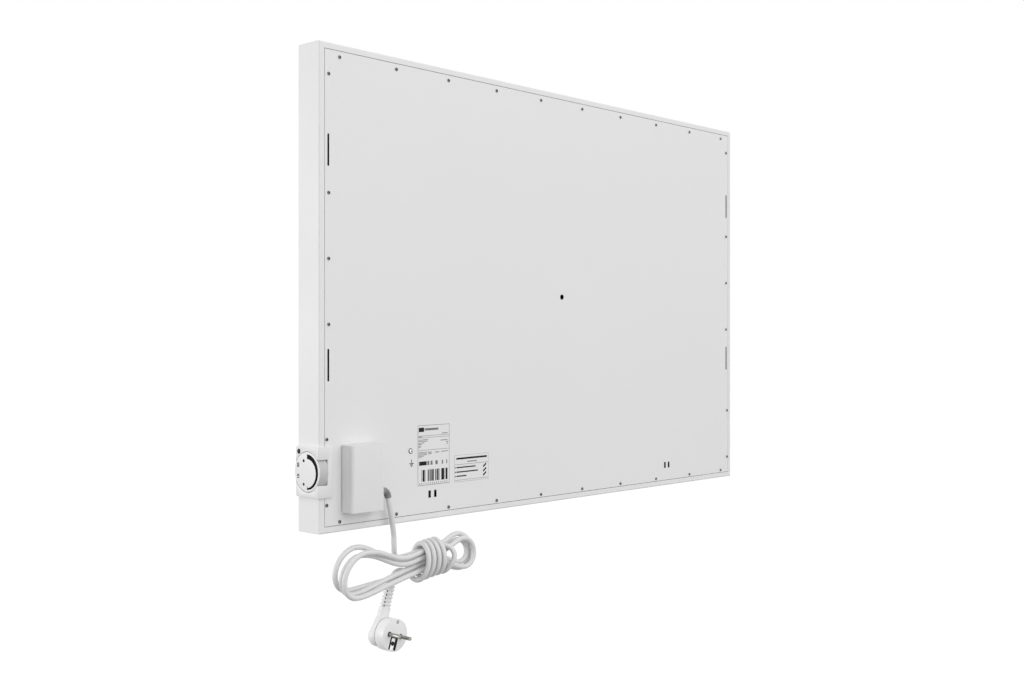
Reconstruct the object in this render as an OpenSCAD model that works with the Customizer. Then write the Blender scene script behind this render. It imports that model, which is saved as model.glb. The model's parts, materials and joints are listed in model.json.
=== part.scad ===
// Infrared panel heater with an edge thermostat, seen from its wall side.
// X runs across the panel with the thermostat at +X, +Y points out of the rear face towards the wall,
// +Z is up. The origin is on the rear face, at the centre of the four hanging slots.

/* [Panel] */
// Width of the panel
panel_w = 900; // [840:10:1200]
// Height of the panel
panel_h = 600; // [560:10:700]
// Thickness of the casing
panel_t = 42; // [41:0.5:48]
// Sheet steel of the casing and the back plate
sheet_t = 1; // [0.8:0.1:1.2]
// Outside bend radius of the casing
edge_r = 2; // [1.5:0.1:3]
// Width of the rim folded over the rear
rim_w = 8; // [6:0.5:9]
// Open seam between the rim and the back plate
plate_gap = 0.7; // [0.3:0.1:0.9]

/* [Fixing rails] */
// Width of a rail under the back plate
rail_w = 23; // [20:0.5:24]
// Depth of a rail along the side wall
rail_leg = 16; // [10:0.5:20]
// Thickness of a rail
rail_t = 1.2; // [1:0.1:1.5]

/* [Back plate screws] */
// Screws in the top row and in the bottom row
row_count = 10; // [6:1:12]
// First screw of a row from the side edge
row_margin = 31.5; // [28:0.5:40]
// Top row below the top edge
top_inset = 15.8; // [12:0.2:16]
// Bottom row above the bottom edge
bottom_inset = 12.6; // [12:0.2:16]
// Side columns from the side edges
side_inset = 14.5; // [12:0.5:16]
// Two lowest screws of a side column from the side edge
low_inset = 11.5; // [11:0.5:16]
// Lowest side screw above the bottom edge
side_low = 34.5; // [31:0.1:36]
// Pitch of the side screws
side_pitch = 80.4; // [76:0.2:84]
// Middle side screw below the centre of the slots
side_mid_drop = 1.3; // [0:0.1:4]
// Top side screw below the top edge
side_top_inset = 38.7; // [32:0.1:48]
// Diameter of a screw head
screw_head_d = 5; // [4.6:0.1:7]
// Height of a screw head
screw_head_h = 1.6; // [1.2:0.1:2.4]
// Diameter of a screw shank
screw_d = 2.9; // [2.5:0.1:3.4]
// Length of a screw shank
screw_l = 9; // [7:0.5:12]

/* [Hanging slots] */
// Centre of the four slots above the bottom edge
hang_height = 337; // [330:1:345]
// Height between the upper and the lower slots
slot_span = 263; // [250:1:270]
// Slots from the side edges
slot_inset = 14; // [12:0.5:15]
// Length of a slot
slot_l = 40; // [30:1:46]
// Width of a slot
slot_w = 2.8; // [2.2:0.1:3.6]

/* [Plate holes] */
// Diameter of the hole in the middle of the back plate
centre_hole_d = 8; // [5:0.5:12]
// Distance of the centre hole above the bottom edge
centre_hole_v = 300; // [280:1:320]
// Width of a small foot slot
foot_slot_w = 4.4; // [4:0.1:5]
// Height of a small foot slot
foot_slot_h = 9.5; // [8:0.1:11]
// Pitch of the two slots of a pair
foot_slot_pitch = 10.2; // [9:0.1:12]
// Pair of foot slots from the middle of the panel
foot_pair_x = 262; // [240:1:280]
// Foot slots above the bottom edge
foot_slot_v = 33; // [31:0.5:34]

/* [Heater pack] */
// Free edge round the heating element
element_margin = 22; // [20:0.5:24]
// Thickness of the heating element
element_t = 1.6; // [1.2:0.1:2.2]
// Width of a busbar
busbar_w = 10; // [8:0.5:12]
// Thickness of a busbar
busbar_t = 0.4; // [0.2:0.1:0.8]
// Busbar from the element's edge
busbar_inset = 12; // [10:0.5:13]
// Thickness of the reflector foil
foil_t = 0.3; // [0.2:0.1:0.5]
// Thickness of the insulation mat
mat_t = 24; // [18:0.5:25]
// Free edge round the mat
mat_margin = 26.5; // [25.5:0.5:28]
// Diameter of the thermal cut-out
cutout_d = 17; // [14:0.5:20]
// Height of the thermal cut-out
cutout_h = 9; // [7:0.5:11]

/* [Junction box] */
// Width of the box
box_w = 50; // [48:0.5:54]
// Height of the box
box_h = 82.5; // [80:0.5:90]
// Depth of the box
box_t = 22; // [21:0.5:28]
// Wall of the box
box_wall = 2; // [1.6:0.1:2.4]
// Box from the thermostat side edge
box_u = 34.6; // [32:0.2:38]
// Box above the bottom edge
box_v = 24; // [22:0.5:26]
// Radius of the upright edges of the box on the thermostat's side
box_edge_r = 4.5; // [3:0.5:6]
// Radius of its upright edges on the cord's side
box_cord_r = 1.5; // [1:0.5:4]
// Radius of the top and bottom edges of the box
box_end_r = 2; // [1:0.5:4]

/* [Thermostat] */
// Diameter of the dial
dial_d = 49; // [48:0.2:50]
// Thickness of the dial
dial_t = 13.8; // [12:0.2:15]
// Middle of the dial above the bottom edge
dial_v = 75; // [74:0.5:76]
// Middle of the dial in front of the rear face
dial_depth = 19.3; // [19:0.1:19.8]
// Gap round the dial in the cover
dial_gap = 0.6; // [0.3:0.05:0.6]
// Thickness of the cover over the side face
cover_t = 3.5; // [3:0.1:4]
// Thickness of the cover over the rear face
cover_back = 3; // [2:0.1:3.4]
// Height of the cover
cover_h = 62; // [60:0.5:64]
// Width of the cover on the rear face
cover_flange = 19; // [16:0.5:24]
// Width of the window over the rear face
window_w = 10.8; // [10.6:0.1:12.5]
// Height of the window
window_h = 31.6; // [31.4:0.1:34]
// Diameter of the dial shaft
shaft_d = 6; // [5:0.1:7]
// Running gap round the dial shaft
shaft_gap = 0.05; // [0.03:0.01:0.08]
// Diameter of the indicator lens
lens_d = 5; // [4:0.1:5.4]

/* [Labels] */
// Width of the rating label
rating_w = 58.4; // [50:0.2:60]
// Height of the rating label
rating_h = 80.2; // [70:0.2:84]
// Width of the notice label
notice_w = 66.4; // [60:0.2:72]
// Height of the notice label
notice_h = 36.5; // [32:0.5:40]
// Thickness of a label
label_t = 0.2; // [0.1:0.05:0.4]

/* [Cord] */
// Diameter of the mains cord
cord_d = 6.8; // [6:0.1:7]
// Depth of the cord behind the rear face at the box
gland_y = 12; // [11:0.5:13]
// Cord outlet above the bottom edge
gland_v = 46; // [46:0.5:48]
// Bend radius of the cord in its gland
gland_bend_r = 9; // [8.5:0.5:14]
// Bend of the gland, in degrees
gland_bend = 78; // [60:1:80]

/* [Hank] */
// Pitch of neighbouring strands
strand_pitch = 8.2; // [8.1:0.1:8.4]
// Radius of the large fold
near_fold_r = 29.5; // [29:0.1:31]
// Radius of the small fold
far_fold_r = 24.5; // [24:0.1:26]
// Middle of the large fold from the thermostat side edge
near_fold_u = 46.3; // [45:0.1:48]
// Middle of the small fold from the thermostat side edge
far_fold_u = 225; // [224:0.5:228]
// Middle of the hank above the bottom edge
hank_v = -46; // [-47:0.1:-45]
// Middle of the hank behind the rear face
hank_y = 16; // [15.5:0.1:16.5]
// Half height of the strands at the waist
waist_half = 12.9; // [12.7:0.1:13.2]
// Half height of a wrap's middle line
wrap_half_h = 22; // [22:0.1:22.6]
// Half depth of a wrap's middle line
wrap_half_t = 17.5; // [17.5:0.1:18.2]

/* [Plug] */
// Diameter of the plug's front
plug_d = 41; // [39:0.5:42]
// Depth of the plug's front
plug_front_t = 15.5; // [14:0.5:17]
// Depth of the plug's back
plug_back_t = 28; // [26:0.5:29]
// Lean of the plug, in degrees
plug_lean = 18.3; // [17:0.1:20]
// Diameter of a pin
pin_d = 4.8; // [4:0.1:5]
// Length of a pin
pin_l = 19; // [17:0.5:20]
// Distance between the pins
pin_span = 19; // [18:0.5:20]
// Length of the ribbed relief
relief_l = 28; // [24:0.5:32]
// Ribs of the relief
rib_count = 6; // [4:1:7]

/* [Hidden] */
$fn = 48;

// Finishes
paint = [0.88, 0.88, 0.89];
zinc = [0.72, 0.73, 0.75];
white_plastic = [0.93, 0.93, 0.93];
cord_white = [0.9, 0.9, 0.9];
copper = [0.78, 0.5, 0.32];
brass = [0.8, 0.66, 0.36];
nickel = [0.76, 0.76, 0.74];
wool = [0.86, 0.83, 0.72];
carbon = [0.16, 0.16, 0.17];
board_green = [0.12, 0.36, 0.22];
rubber = [0.42, 0.42, 0.43];
label_white = [0.95, 0.95, 0.95];
wire_brown = [0.42, 0.26, 0.16];
wire_blue = [0.2, 0.34, 0.66];
wire_earth = [0.45, 0.62, 0.2];

// Overrun of every cut, and the small clearances
cut = 2;
hole_gap = 0.2;
thread_gap = 0.05;
seat_gap = 0.3;

// A distance u is measured from the thermostat side edge, a height v from the bottom edge
function at_x(u) = panel_w / 2 - u;
function at_z(v) = v - hang_height;
function place(p) = [at_x(p[0]), p[2], at_z(p[1])];

// A block from ranges of distance, depth and height
module span(u, y, v)
    translate([at_x(u[1]), y[0], at_z(v[0])])
        cube([u[1] - u[0], y[1] - y[0], v[1] - v[0]]);

// Round bars along the three axes
module bar_x(u, y, v, r)
    translate([at_x(u[1]), y, at_z(v)])
        rotate([0, 90, 0])
            cylinder(r = r, h = u[1] - u[0]);
module bar_y(u, y, v, r)
    translate([at_x(u), y[1], at_z(v)])
        rotate([90, 0, 0])
            cylinder(r = r, h = y[1] - y[0]);
module bar_z(u, y, v, r)
    translate([at_x(u), y, at_z(v[0])])
        cylinder(r = r, h = v[1] - v[0]);

// Flat outlines drawn out along an axis
module along_x(x)
    translate([x[0], 0, 0])
        rotate([90, 0, 90])
            linear_extrude(x[1] - x[0]) children();
module along_y(y)
    translate([0, y[1], 0])
        rotate([90, 0, 0])
            linear_extrude(y[1] - y[0]) children();
module along_z(z)
    translate([0, 0, z[0]])
        linear_extrude(z[1] - z[0]) children();

// A rectangle with round corners
module soft_rect(x, y, r) {
    translate([x[0] + r, y[0]]) square([x[1] - x[0] - 2 * r, y[1] - y[0]]);
    translate([x[0], y[0] + r]) square([x[1] - x[0], y[1] - y[0] - 2 * r]);
    for (a = [x[0] + r, x[1] - r])
        for (b = [y[0] + r, y[1] - r])
            translate([a, b]) circle(r);
}

// A pan head screw that stands on z = 0 with its shank below
module pan_screw(head_r, head_h, shank_r, shank_l) {
    dome_r = (head_r * head_r + head_h * head_h) / (2 * head_h);
    rotate_extrude()
        intersection() {
            translate([0, head_h - dome_r]) circle(dome_r);
            square([head_r, head_h]);
        }
    translate([0, 0, -shank_l]) cylinder(r = shank_r, h = shank_l);
}

// Screws that point into the panel, out of it and along X
module screw_in(u, y, v, head_r, head_h, shank_r, shank_l)
    translate([at_x(u), y, at_z(v)])
        rotate([-90, 0, 0]) pan_screw(head_r, head_h, shank_r, shank_l);
module screw_out(u, y, v, head_r, head_h, shank_r, shank_l)
    translate([at_x(u), y, at_z(v)])
        rotate([90, 0, 0]) pan_screw(head_r, head_h, shank_r, shank_l);
module screw_side(u, y, v, head_r, head_h, shank_r, shank_l)
    translate([at_x(u), y, at_z(v)])
        rotate([0, -90, 0]) pan_screw(head_r, head_h, shank_r, shank_l);

// Curves and tubes
function unit(v) = v / norm(v);
function smooth(x) = let (c = min(1, max(0, x))) c * c * (3 - 2 * c);
function bezier(a, b, c, d, t) =
    a * pow(1 - t, 3) + 3 * b * t * pow(1 - t, 2) + 3 * c * t * t * (1 - t) + d * pow(t, 3);
function between(a, a_dir, b, b_dir, a_share, b_share, n) = let (k = norm(b - a))
    [for (i = [1:n - 1]) bezier(a, a + a_dir * a_share * k, b - b_dir * b_share * k, b, i / n)];
function tangents(p) = let (n = len(p) - 1)
    [for (i = [0:n]) unit(p[min(i + 1, n)] - p[max(i - 1, 0)])];
function squared(n, t) = unit(n - (n * t) * t);
function normals(t) = [
    for (i = 0, n = squared([0.3, 1, 0.2], t[0]); i < len(t); i = i + 1, n = squared(n, t[min(i, len(t) - 1)])) n
];
function rings(p, r, sides) = let (t = tangents(p), n = normals(t))
    [for (i = [0:len(p) - 1])
        for (k = [0:sides - 1])
            let (a = 360 * k / sides, b = cross(t[i], n[i]))
            p[i] + (is_list(r) ? r[i] : r) * (n[i] * cos(a) + b * sin(a))];
function walls(n, s, base, inside) = [
    for (i = [0:n - 2])
        for (k = [0:s - 1])
            for (half = [0, 1])
                let (a = base + i * s + k,
                     b = base + i * s + (k + 1) % s,
                     f = half == 0 ? [a, a + s, b] : [b, a + s, b + s])
                inside ? [f[2], f[1], f[0]] : f
];

// A solid tube through points, with one radius or one for each point
module tube(p, r, sides) {
    n = len(p);
    last = (n - 1) * sides;
    polyhedron(
        points = rings(p, r, sides),
        faces = concat(
            walls(n, sides, 0, false),
            [[for (k = [0:sides - 1]) k]],
            [[for (k = [0:sides - 1]) last + sides - 1 - k]]));
}

// A tube with a bore
module sleeve(p, r, bore, sides) {
    n = len(p);
    all = n * sides;
    last = (n - 1) * sides;
    polyhedron(
        points = concat(rings(p, r, sides), rings(p, bore, sides)),
        faces = concat(
            walls(n, sides, 0, false),
            walls(n, sides, all, true),
            [for (k = [0:sides - 1]) [k, (k + 1) % sides, all + k]],
            [for (k = [0:sides - 1]) [(k + 1) % sides, all + (k + 1) % sides, all + k]],
            [for (k = [0:sides - 1]) [last + k, all + last + k, last + (k + 1) % sides]],
            [for (k = [0:sides - 1])
                [last + (k + 1) % sides, all + last + k, all + last + (k + 1) % sides]]));
}

// Places that several pieces share
feed_u = 60;
feed_v = 93;
feed_d = 12;
front_in = -panel_t + sheet_t;
element_back = front_in + element_t;
foil_back = element_back + foil_t;
mat_back = foil_back + mat_t;
row_pitch = (panel_w - 2 * row_margin) / (row_count - 1);
low_count = 2;
side_heights = [
    side_low,
    side_low + side_pitch,
    hang_height - side_mid_drop - side_pitch,
    hang_height - side_mid_drop,
    hang_height - side_mid_drop + side_pitch,
    panel_h - side_top_inset
];
screw_places = concat(
    [for (i = [0:row_count - 1]) for (v = [bottom_inset, panel_h - top_inset]) [row_margin + i * row_pitch, v]],
    [for (i = [0:len(side_heights) - 1])
        let (inset = i < low_count ? low_inset : side_inset)
            for (u = [inset, panel_w - inset]) [u, side_heights[i]]]);
slot_places = [
    for (u = [slot_inset, panel_w - slot_inset])
        for (v = [hang_height - slot_span / 2, hang_height + slot_span / 2]) [u, v]
];
foot_places = [
    for (side = [-1, 1])
        for (k = [-1, 1]) [panel_w / 2 + side * foot_pair_x + k * foot_slot_pitch / 2, foot_slot_v]
];

// Casing
module tray_form(inset, r)
    intersection() {
        along_x([at_x(panel_w - inset), at_x(inset)])
            soft_rect([-panel_t + inset, -inset], [at_z(inset), at_z(panel_h - inset)], r);
        along_z([at_z(inset), at_z(panel_h - inset)])
            soft_rect([at_x(panel_w - inset), at_x(inset)], [-panel_t + inset, -inset], r);
    }

// Room for the dial in the sheet metal
recess_gap = 1.1;
recess_depth = 12;
module dial_recess()
    bar_x([-cut, recess_depth], -dial_depth, dial_v, dial_d / 2 + recess_gap);

module casing() color(paint)
    difference() {
        tray_form(0, edge_r);
        tray_form(sheet_t, edge_r - sheet_t);
        span([rim_w, panel_w - rim_w], [-sheet_t - cut, cut], [rim_w, panel_h - rim_w]);
        dial_recess();
        for (p = carrier_places)
            bar_x([-cut, sheet_t + cut], p[0], p[1], carrier_screw_d / 2 + hole_gap);
        bar_x([-cut, sheet_t + cut], lens_y, lens_v, lens_flange_d / 2 + hole_gap);
    }

// Back plate
module hang_slot(p, gap)
    along_y([-sheet_t - rail_t - cut, cut]) {
        r = slot_w / 2 + gap;
        run = slot_l / 2 - slot_w / 2;
        translate([at_x(p[0]) - r, at_z(p[1]) - run]) square([2 * r, 2 * run]);
        for (s = [-1, 1]) translate([at_x(p[0]), at_z(p[1]) + s * run]) circle(r);
    }

module back_plate() color(paint)
    difference() {
        span(
            [rim_w + plate_gap, panel_w - rim_w - plate_gap],
            [-sheet_t, 0],
            [rim_w + plate_gap, panel_h - rim_w - plate_gap]);
        for (p = screw_places)
            bar_y(p[0], [-sheet_t - cut, cut], p[1], screw_d / 2 + hole_gap);
        for (p = slot_places) hang_slot(p, 0);
        for (p = foot_places)
            span(
                [p[0] - foot_slot_w / 2, p[0] + foot_slot_w / 2],
                [-sheet_t - cut, cut],
                [p[1] - foot_slot_h / 2, p[1] + foot_slot_h / 2]);
        bar_y(panel_w / 2, [-sheet_t - cut, cut], centre_hole_v, centre_hole_d / 2);
        dial_recess();
        bar_y(feed_u, [-sheet_t - cut, cut], feed_v, feed_d / 2);
        bar_y(earth_u, [-sheet_t - cut, cut], earth_v, earth_d / 2 + hole_gap);
        for (p = boss_places)
            bar_y(p[0], [-sheet_t - cut, cut], p[1], box_screw_d / 2 + hole_gap);
        for (p = concat(block_screw_places, clamp_screw_places))
            bar_y(p[0], [-sheet_t - cut, cut], p[1], small_screw_d / 2 + thread_gap);
    }

module back_plate_screws() color(zinc)
    for (p = screw_places)
        screw_in(p[0], 0, p[1], screw_head_d / 2, screw_head_h, screw_d / 2, screw_l);

// Fixing rails: an angle with one leg on the side wall and one under the back plate
rail_outline = [
    [rail_t, 0], [rail_w, 0], [rail_w, -rail_t], [rail_t, -rail_t], [rail_t, -rail_leg], [0, -rail_leg],
    [0, -rail_t]
];
module rail_holes() {
    for (p = screw_places)
        bar_y(p[0], [-sheet_t - rail_t - cut, cut], p[1], screw_d / 2 + thread_gap);
    for (p = slot_places) hang_slot(p, seat_gap);
}

module level_rail(v, up)
    difference() {
        along_x([at_x(panel_w - edge_r - seat_gap), at_x(edge_r + seat_gap)])
            translate([-sheet_t, at_z(v)])
                polygon([for (p = rail_outline) [p[1], up * p[0]]]);
        rail_holes();
    }

module upright_rail(u, way)
    difference() {
        along_z([at_z(sheet_t + rail_w + seat_gap), at_z(panel_h - sheet_t - rail_w - seat_gap)])
            translate([at_x(u), -sheet_t])
                polygon([for (p = rail_outline) [way * p[0], p[1]]]);
        rail_holes();
    }

module top_rail() color(zinc) level_rail(panel_h - sheet_t, -1);
module bottom_rail() color(zinc) level_rail(sheet_t, 1);
module far_side_rail() color(zinc) upright_rail(panel_w - sheet_t, 1);
module thermostat_side_rail() color(zinc)
    difference() {
        upright_rail(sheet_t, -1);
        dial_recess();
        span(
            [0, sheet_t + rail_t + cut],
            [-sheet_t - rail_leg - cut, -sheet_t - rail_t],
            [dial_v - cover_h / 2, dial_v + cover_h / 2]);
    }

// Heater pack: the element lies on the front sheet, the foil and the mat lie on the element
terminal_u = 60;
terminal_d = 7;
terminal_h = 3;
terminal_well_d = 20;
cutout_u = 110;
cutout_v = 140;
cutout_well_d = 30;
tab_w = 6.3;
tab_t = 0.8;
tab_h = 8;
tab_span = 8;
mat_notch_u = 52;
mat_notch_low = 38;
mat_notch_high = 112;
busbar_heights = [element_margin + busbar_inset, panel_h - element_margin - busbar_inset - busbar_w];
terminal_heights = [for (v = busbar_heights) v + busbar_w / 2];

module busbar_strip(v, gap)
    span(
        [element_margin + busbar_inset - gap, panel_w - element_margin - busbar_inset + gap],
        [element_back - busbar_t, element_back + gap],
        [v - gap, v + busbar_w + gap]);

module heating_element() color(carbon)
    difference() {
        span(
            [element_margin, panel_w - element_margin],
            [front_in, element_back],
            [element_margin, panel_h - element_margin]);
        for (v = busbar_heights) busbar_strip(v, thread_gap);
    }

module busbars() color(copper)
    for (v = busbar_heights) busbar_strip(v, 0);

module busbar_terminals() color(brass)
    for (v = terminal_heights)
        bar_y(terminal_u, [element_back, element_back + terminal_h], v, terminal_d / 2);

foil_margin = element_margin + busbar_inset + busbar_w + seat_gap;
module reflector_foil() color([0.82, 0.83, 0.85])
    span(
        [mat_margin, panel_w - mat_margin],
        [element_back, foil_back],
        [foil_margin, panel_h - foil_margin]);

module insulation_mat() color(wool)
    difference() {
        span([mat_margin, panel_w - mat_margin], [foil_back, mat_back], [mat_margin, panel_h - mat_margin]);
        span([0, mat_notch_u], [foil_back - cut, mat_back + cut], [mat_notch_low, mat_notch_high]);
        for (v = terminal_heights)
            bar_y(terminal_u, [foil_back - cut, mat_back + cut], v, terminal_well_d / 2);
        bar_y(cutout_u, [foil_back - cut, mat_back + cut], cutout_v, cutout_well_d / 2);
    }

cutout_top = foil_back + cutout_h;
module thermal_cutout() {
    color([0.2, 0.2, 0.22])
        bar_y(cutout_u, [foil_back, cutout_top], cutout_v, cutout_d / 2);
    for (s = [-1, 1])
        color(nickel)
            span(
                [cutout_u + s * tab_span / 2 - tab_t / 2, cutout_u + s * tab_span / 2 + tab_t / 2],
                [cutout_top, cutout_top + tab_h],
                [cutout_v - tab_w / 2, cutout_v + tab_w / 2]);
}

// Inner wires, as routes of distance, height and depth. Small steps along a route are named once.
wire_d = 2.4;
wire_sides = 8;
wire_lane = mat_back + 4.1;
neutral_lane = mat_back + 9.1;
wire_step = 6;
wire_rise = 2;
feed_step = 3;
feed_low = feed_v - feed_step / 2;
feed_out = 2;
board_back = 23.6;
switched_v = dial_v - 13;
board_wire_y = -20;
tab_top = cutout_top + tab_h;
terminal_top = element_back + terminal_h;
switched_route = [
    [board_back, switched_v, board_wire_y], [board_back + wire_step, switched_v, board_wire_y],
    [board_back + 2 * wire_step, switched_v + wire_rise, board_wire_y + 2 * wire_rise],
    [mat_notch_u, switched_v + 4 * wire_step, wire_lane],
    [mat_notch_u + 2 * wire_step, feed_v + 2 * wire_step, wire_lane],
    [cutout_u - 4 * wire_step, cutout_v - 2 * wire_step, wire_lane],
    [cutout_u - 2 * wire_step, cutout_v, wire_lane - wire_rise],
    [cutout_u - tab_span / 2, cutout_v, tab_top + wire_step],
    [cutout_u - tab_span / 2, cutout_v, tab_top]
];
heater_route = [
    [cutout_u + tab_span / 2, cutout_v, tab_top], [cutout_u + tab_span / 2, cutout_v, tab_top + wire_step],
    [cutout_u + tab_span / 2 + wire_rise, cutout_v - wire_step, wire_lane - wire_rise / 2],
    [cutout_u + wire_rise, cutout_v - 4 * wire_step, wire_lane],
    [cutout_u - 2 * wire_step, feed_v - 2 * wire_step, wire_lane],
    [terminal_u + 3 * wire_step, terminal_heights[0] + 3 * wire_step, wire_lane],
    [terminal_u + wire_step, terminal_heights[0] + wire_step, wire_lane - wire_rise],
    [terminal_u + wire_rise, terminal_heights[0] + wire_rise / 2, terminal_top + 2 * wire_step],
    [terminal_u, terminal_heights[0], terminal_top + wire_step],
    [terminal_u, terminal_heights[0], terminal_top]
];
neutral_route = [
    [feed_u, feed_v + feed_step, feed_out], [feed_u, feed_v + feed_step, -feed_out * 2],
    [feed_u + wire_rise, feed_v + 2 * wire_step, neutral_lane],
    [feed_u + wire_step, feed_v + 6 * wire_step, neutral_lane],
    [feed_u + wire_step, panel_h / 2, neutral_lane],
    [feed_u + wire_step, terminal_heights[1] - 6 * wire_step, neutral_lane],
    [terminal_u + wire_rise * 2, terminal_heights[1] - wire_step, wire_lane - wire_rise],
    [terminal_u, terminal_heights[1], terminal_top + 2 * wire_step],
    [terminal_u, terminal_heights[1], terminal_top]
];
module wire(route) tube([for (p = route) place(p)], wire_d / 2, wire_sides);
module element_wires() {
    color(wire_brown) wire(switched_route);
    color(wire_brown) wire(heater_route);
    color(wire_blue) wire(neutral_route);
}

// Earth stud
earth_u = 149;
earth_v = 92;
earth_d = 4;
earth_l = 11;
earth_head_d = 7;
earth_head_h = 1.8;
lug_d = 8.4;
lug_t = 0.8;
earth_nut_d = 8.1;
earth_nut_t = 3.2;
module earth_screw() color(zinc)
    screw_in(earth_u, 0, earth_v, earth_head_d / 2, earth_head_h, earth_d / 2, earth_l);
module earth_nut() color(zinc)
    difference() {
        translate([at_x(earth_u), -sheet_t - lug_t, at_z(earth_v)])
            rotate([90, 0, 0]) cylinder(r = earth_nut_d / 2, h = earth_nut_t, $fn = 6);
        bar_y(earth_u, [-sheet_t - earth_l, cut], earth_v, earth_d / 2 + thread_gap);
    }
crimp_l = 5;
crimp_d = 3.4;
crimp_w = 4;
crimp_y = -sheet_t - lug_t - crimp_d / 2 + thread_gap;
crimp_u = earth_u - lug_d / 2 - crimp_l;
earth_route = [
    [crimp_u - seat_gap, earth_v, crimp_y], [crimp_u - wire_step, earth_v, crimp_y],
    [crimp_u - 2 * wire_step, earth_v - wire_rise, neutral_lane],
    [(crimp_u + feed_u) / 2, earth_v - 2 * wire_rise, neutral_lane],
    [feed_u + 3 * wire_step, feed_low, neutral_lane], [feed_u + feed_step, feed_low, -feed_out * 2],
    [feed_u + feed_step, feed_low, feed_out]
];
module earth_wire() {
    color(brass)
        difference() {
            union() {
                bar_y(earth_u, [-sheet_t - lug_t, -sheet_t], earth_v, lug_d / 2);
                span(
                    [crimp_u, earth_u - lug_d / 4], [-sheet_t - lug_t, -sheet_t],
                    [earth_v - crimp_w / 2, earth_v + crimp_w / 2]);
                bar_x([crimp_u, crimp_u + crimp_l - seat_gap], crimp_y, earth_v, crimp_d / 2);
            }
            bar_y(earth_u, [-sheet_t - lug_t - cut, cut], earth_v, earth_d / 2 + thread_gap);
        }
    color(wire_earth) wire(earth_route);
}

// Junction box
boss_d = 8;
boss_inset = 7;
box_screw_d = 2.6;
box_screw_l = 14;
box_head_d = 5.6;
box_head_h = 1.8;
small_screw_d = 2.4;
box_mid = [box_u + box_w / 2, box_v + box_h / 2];
boss_places = [
    for (a = [box_u + boss_inset, box_u + box_w - boss_inset])
        for (b = [box_v + boss_inset, box_v + box_h - boss_inset]) [a, b]
];

module box_section(x, y, cord_r, near_r) {
    soft_rect([x[0], x[1] - near_r], y, cord_r);
    soft_rect([x[0] + cord_r, x[1]], y, near_r);
}
module box_form(inset)
    intersection() {
        along_z([at_z(box_v + inset), at_z(box_v + box_h - inset)])
            box_section(
                [at_x(box_u + box_w - inset), at_x(box_u + inset)], [-box_t, box_t - inset],
                max(box_cord_r - inset, corner_least), box_edge_r - inset);
        along_x([at_x(box_u + box_w - inset), at_x(box_u + inset)])
            soft_rect(
                [-box_t, box_t - inset], [at_z(box_v + inset), at_z(box_v + box_h - inset)],
                max(box_end_r - inset, corner_least));
        span([box_u, box_u + box_w], [inset == 0 ? 0 : -cut, box_t], [box_v, box_v + box_h]);
    }
corner_least = 0.5;

module junction_box() color(white_plastic)
    difference() {
        union() {
            difference() {
                box_form(0);
                box_form(box_wall);
            }
            for (p = boss_places)
                bar_y(p[0], [0, box_t - box_wall / 2], p[1], boss_d / 2);
        }
        for (p = boss_places)
            bar_y(p[0], [-cut, box_screw_l], p[1], box_screw_d / 2 + thread_gap);
        bar_x(
            [box_u + box_w - box_wall - cut, box_u + box_w + cut], gland_y, gland_v,
            gland_neck_d / 2 + hole_gap);
    }

module junction_box_screws() color(zinc)
    for (p = boss_places)
        screw_out(p[0], -sheet_t, p[1], box_head_d / 2, box_head_h, box_screw_d / 2, box_screw_l);

// Terminal block inside the box
pole_pitch = 10;
pole_count = 3;
block_v = 63;
block_l = 16;
block_w = 32;
block_t = 13;
block_bore_y = 6;
insert_d = 5;
insert_bore_d = 3;
clamp_head_d = 3.2;
small_head_d = 4.4;
small_head_h = 1.4;
block_screw_l = 13;
pole_places = [for (i = [0:pole_count - 1]) box_mid[0] + (i - (pole_count - 1) / 2) * pole_pitch];
block_screw_places = [
    for (i = [0:pole_count - 2]) [box_mid[0] + (i + 1 - (pole_count - 1) / 2 - 1 / 2) * pole_pitch, block_v + block_l / 2]
];

module terminal_block() color([0.9, 0.9, 0.86])
    difference() {
        span([box_mid[0] - block_w / 2, box_mid[0] + block_w / 2], [0, block_t], [block_v, block_v + block_l]);
        for (u = pole_places) {
            bar_z(u, block_bore_y, [block_v - cut, block_v + block_l + cut], insert_d / 2);
            for (s = [-1, 1])
                bar_y(
                    u, [block_bore_y, block_t + cut], block_v + block_l / 2 + s * block_l / 4,
                    clamp_head_d / 2 + hole_gap);
        }
        for (p = block_screw_places) {
            bar_y(p[0], [-cut, block_t + cut], p[1], small_screw_d / 2 + hole_gap);
            bar_y(p[0], [block_t - small_head_h - hole_gap, block_t + cut], p[1], small_head_d / 2 + hole_gap);
        }
    }

module terminal_inserts() color(brass)
    for (u = pole_places)
        difference() {
            bar_z(u, block_bore_y, [block_v, block_v + block_l], insert_d / 2 - thread_gap);
            bar_z(u, block_bore_y, [block_v - cut, block_v + block_l + cut], insert_bore_d / 2);
            for (s = [-1, 1])
                bar_y(
                    u, [block_bore_y, block_bore_y + insert_d], block_v + block_l / 2 + s * block_l / 4,
                    clamp_head_d / 2 + thread_gap);
        }

module terminal_screws() color(nickel)
    for (u = pole_places)
        for (s = [-1, 1])
            difference() {
                bar_y(
                    u, [block_bore_y + insert_bore_d / 2, block_t - small_head_h],
                    block_v + block_l / 2 + s * block_l / 4, clamp_head_d / 2);
                span(
                    [u - clamp_head_d, u + clamp_head_d],
                    [block_t - small_head_h - slot_cut, block_t],
                    [block_v + block_l / 2 + s * block_l / 4 - slot_cut / 2,
                     block_v + block_l / 2 + s * block_l / 4 + slot_cut / 2]);
            }
slot_cut = 0.7;

module terminal_block_screws() color(zinc)
    for (p = block_screw_places)
        screw_in(
            p[0], block_t - small_head_h - hole_gap, p[1],
            small_head_d / 2, small_head_h, small_screw_d / 2, block_screw_l);

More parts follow.
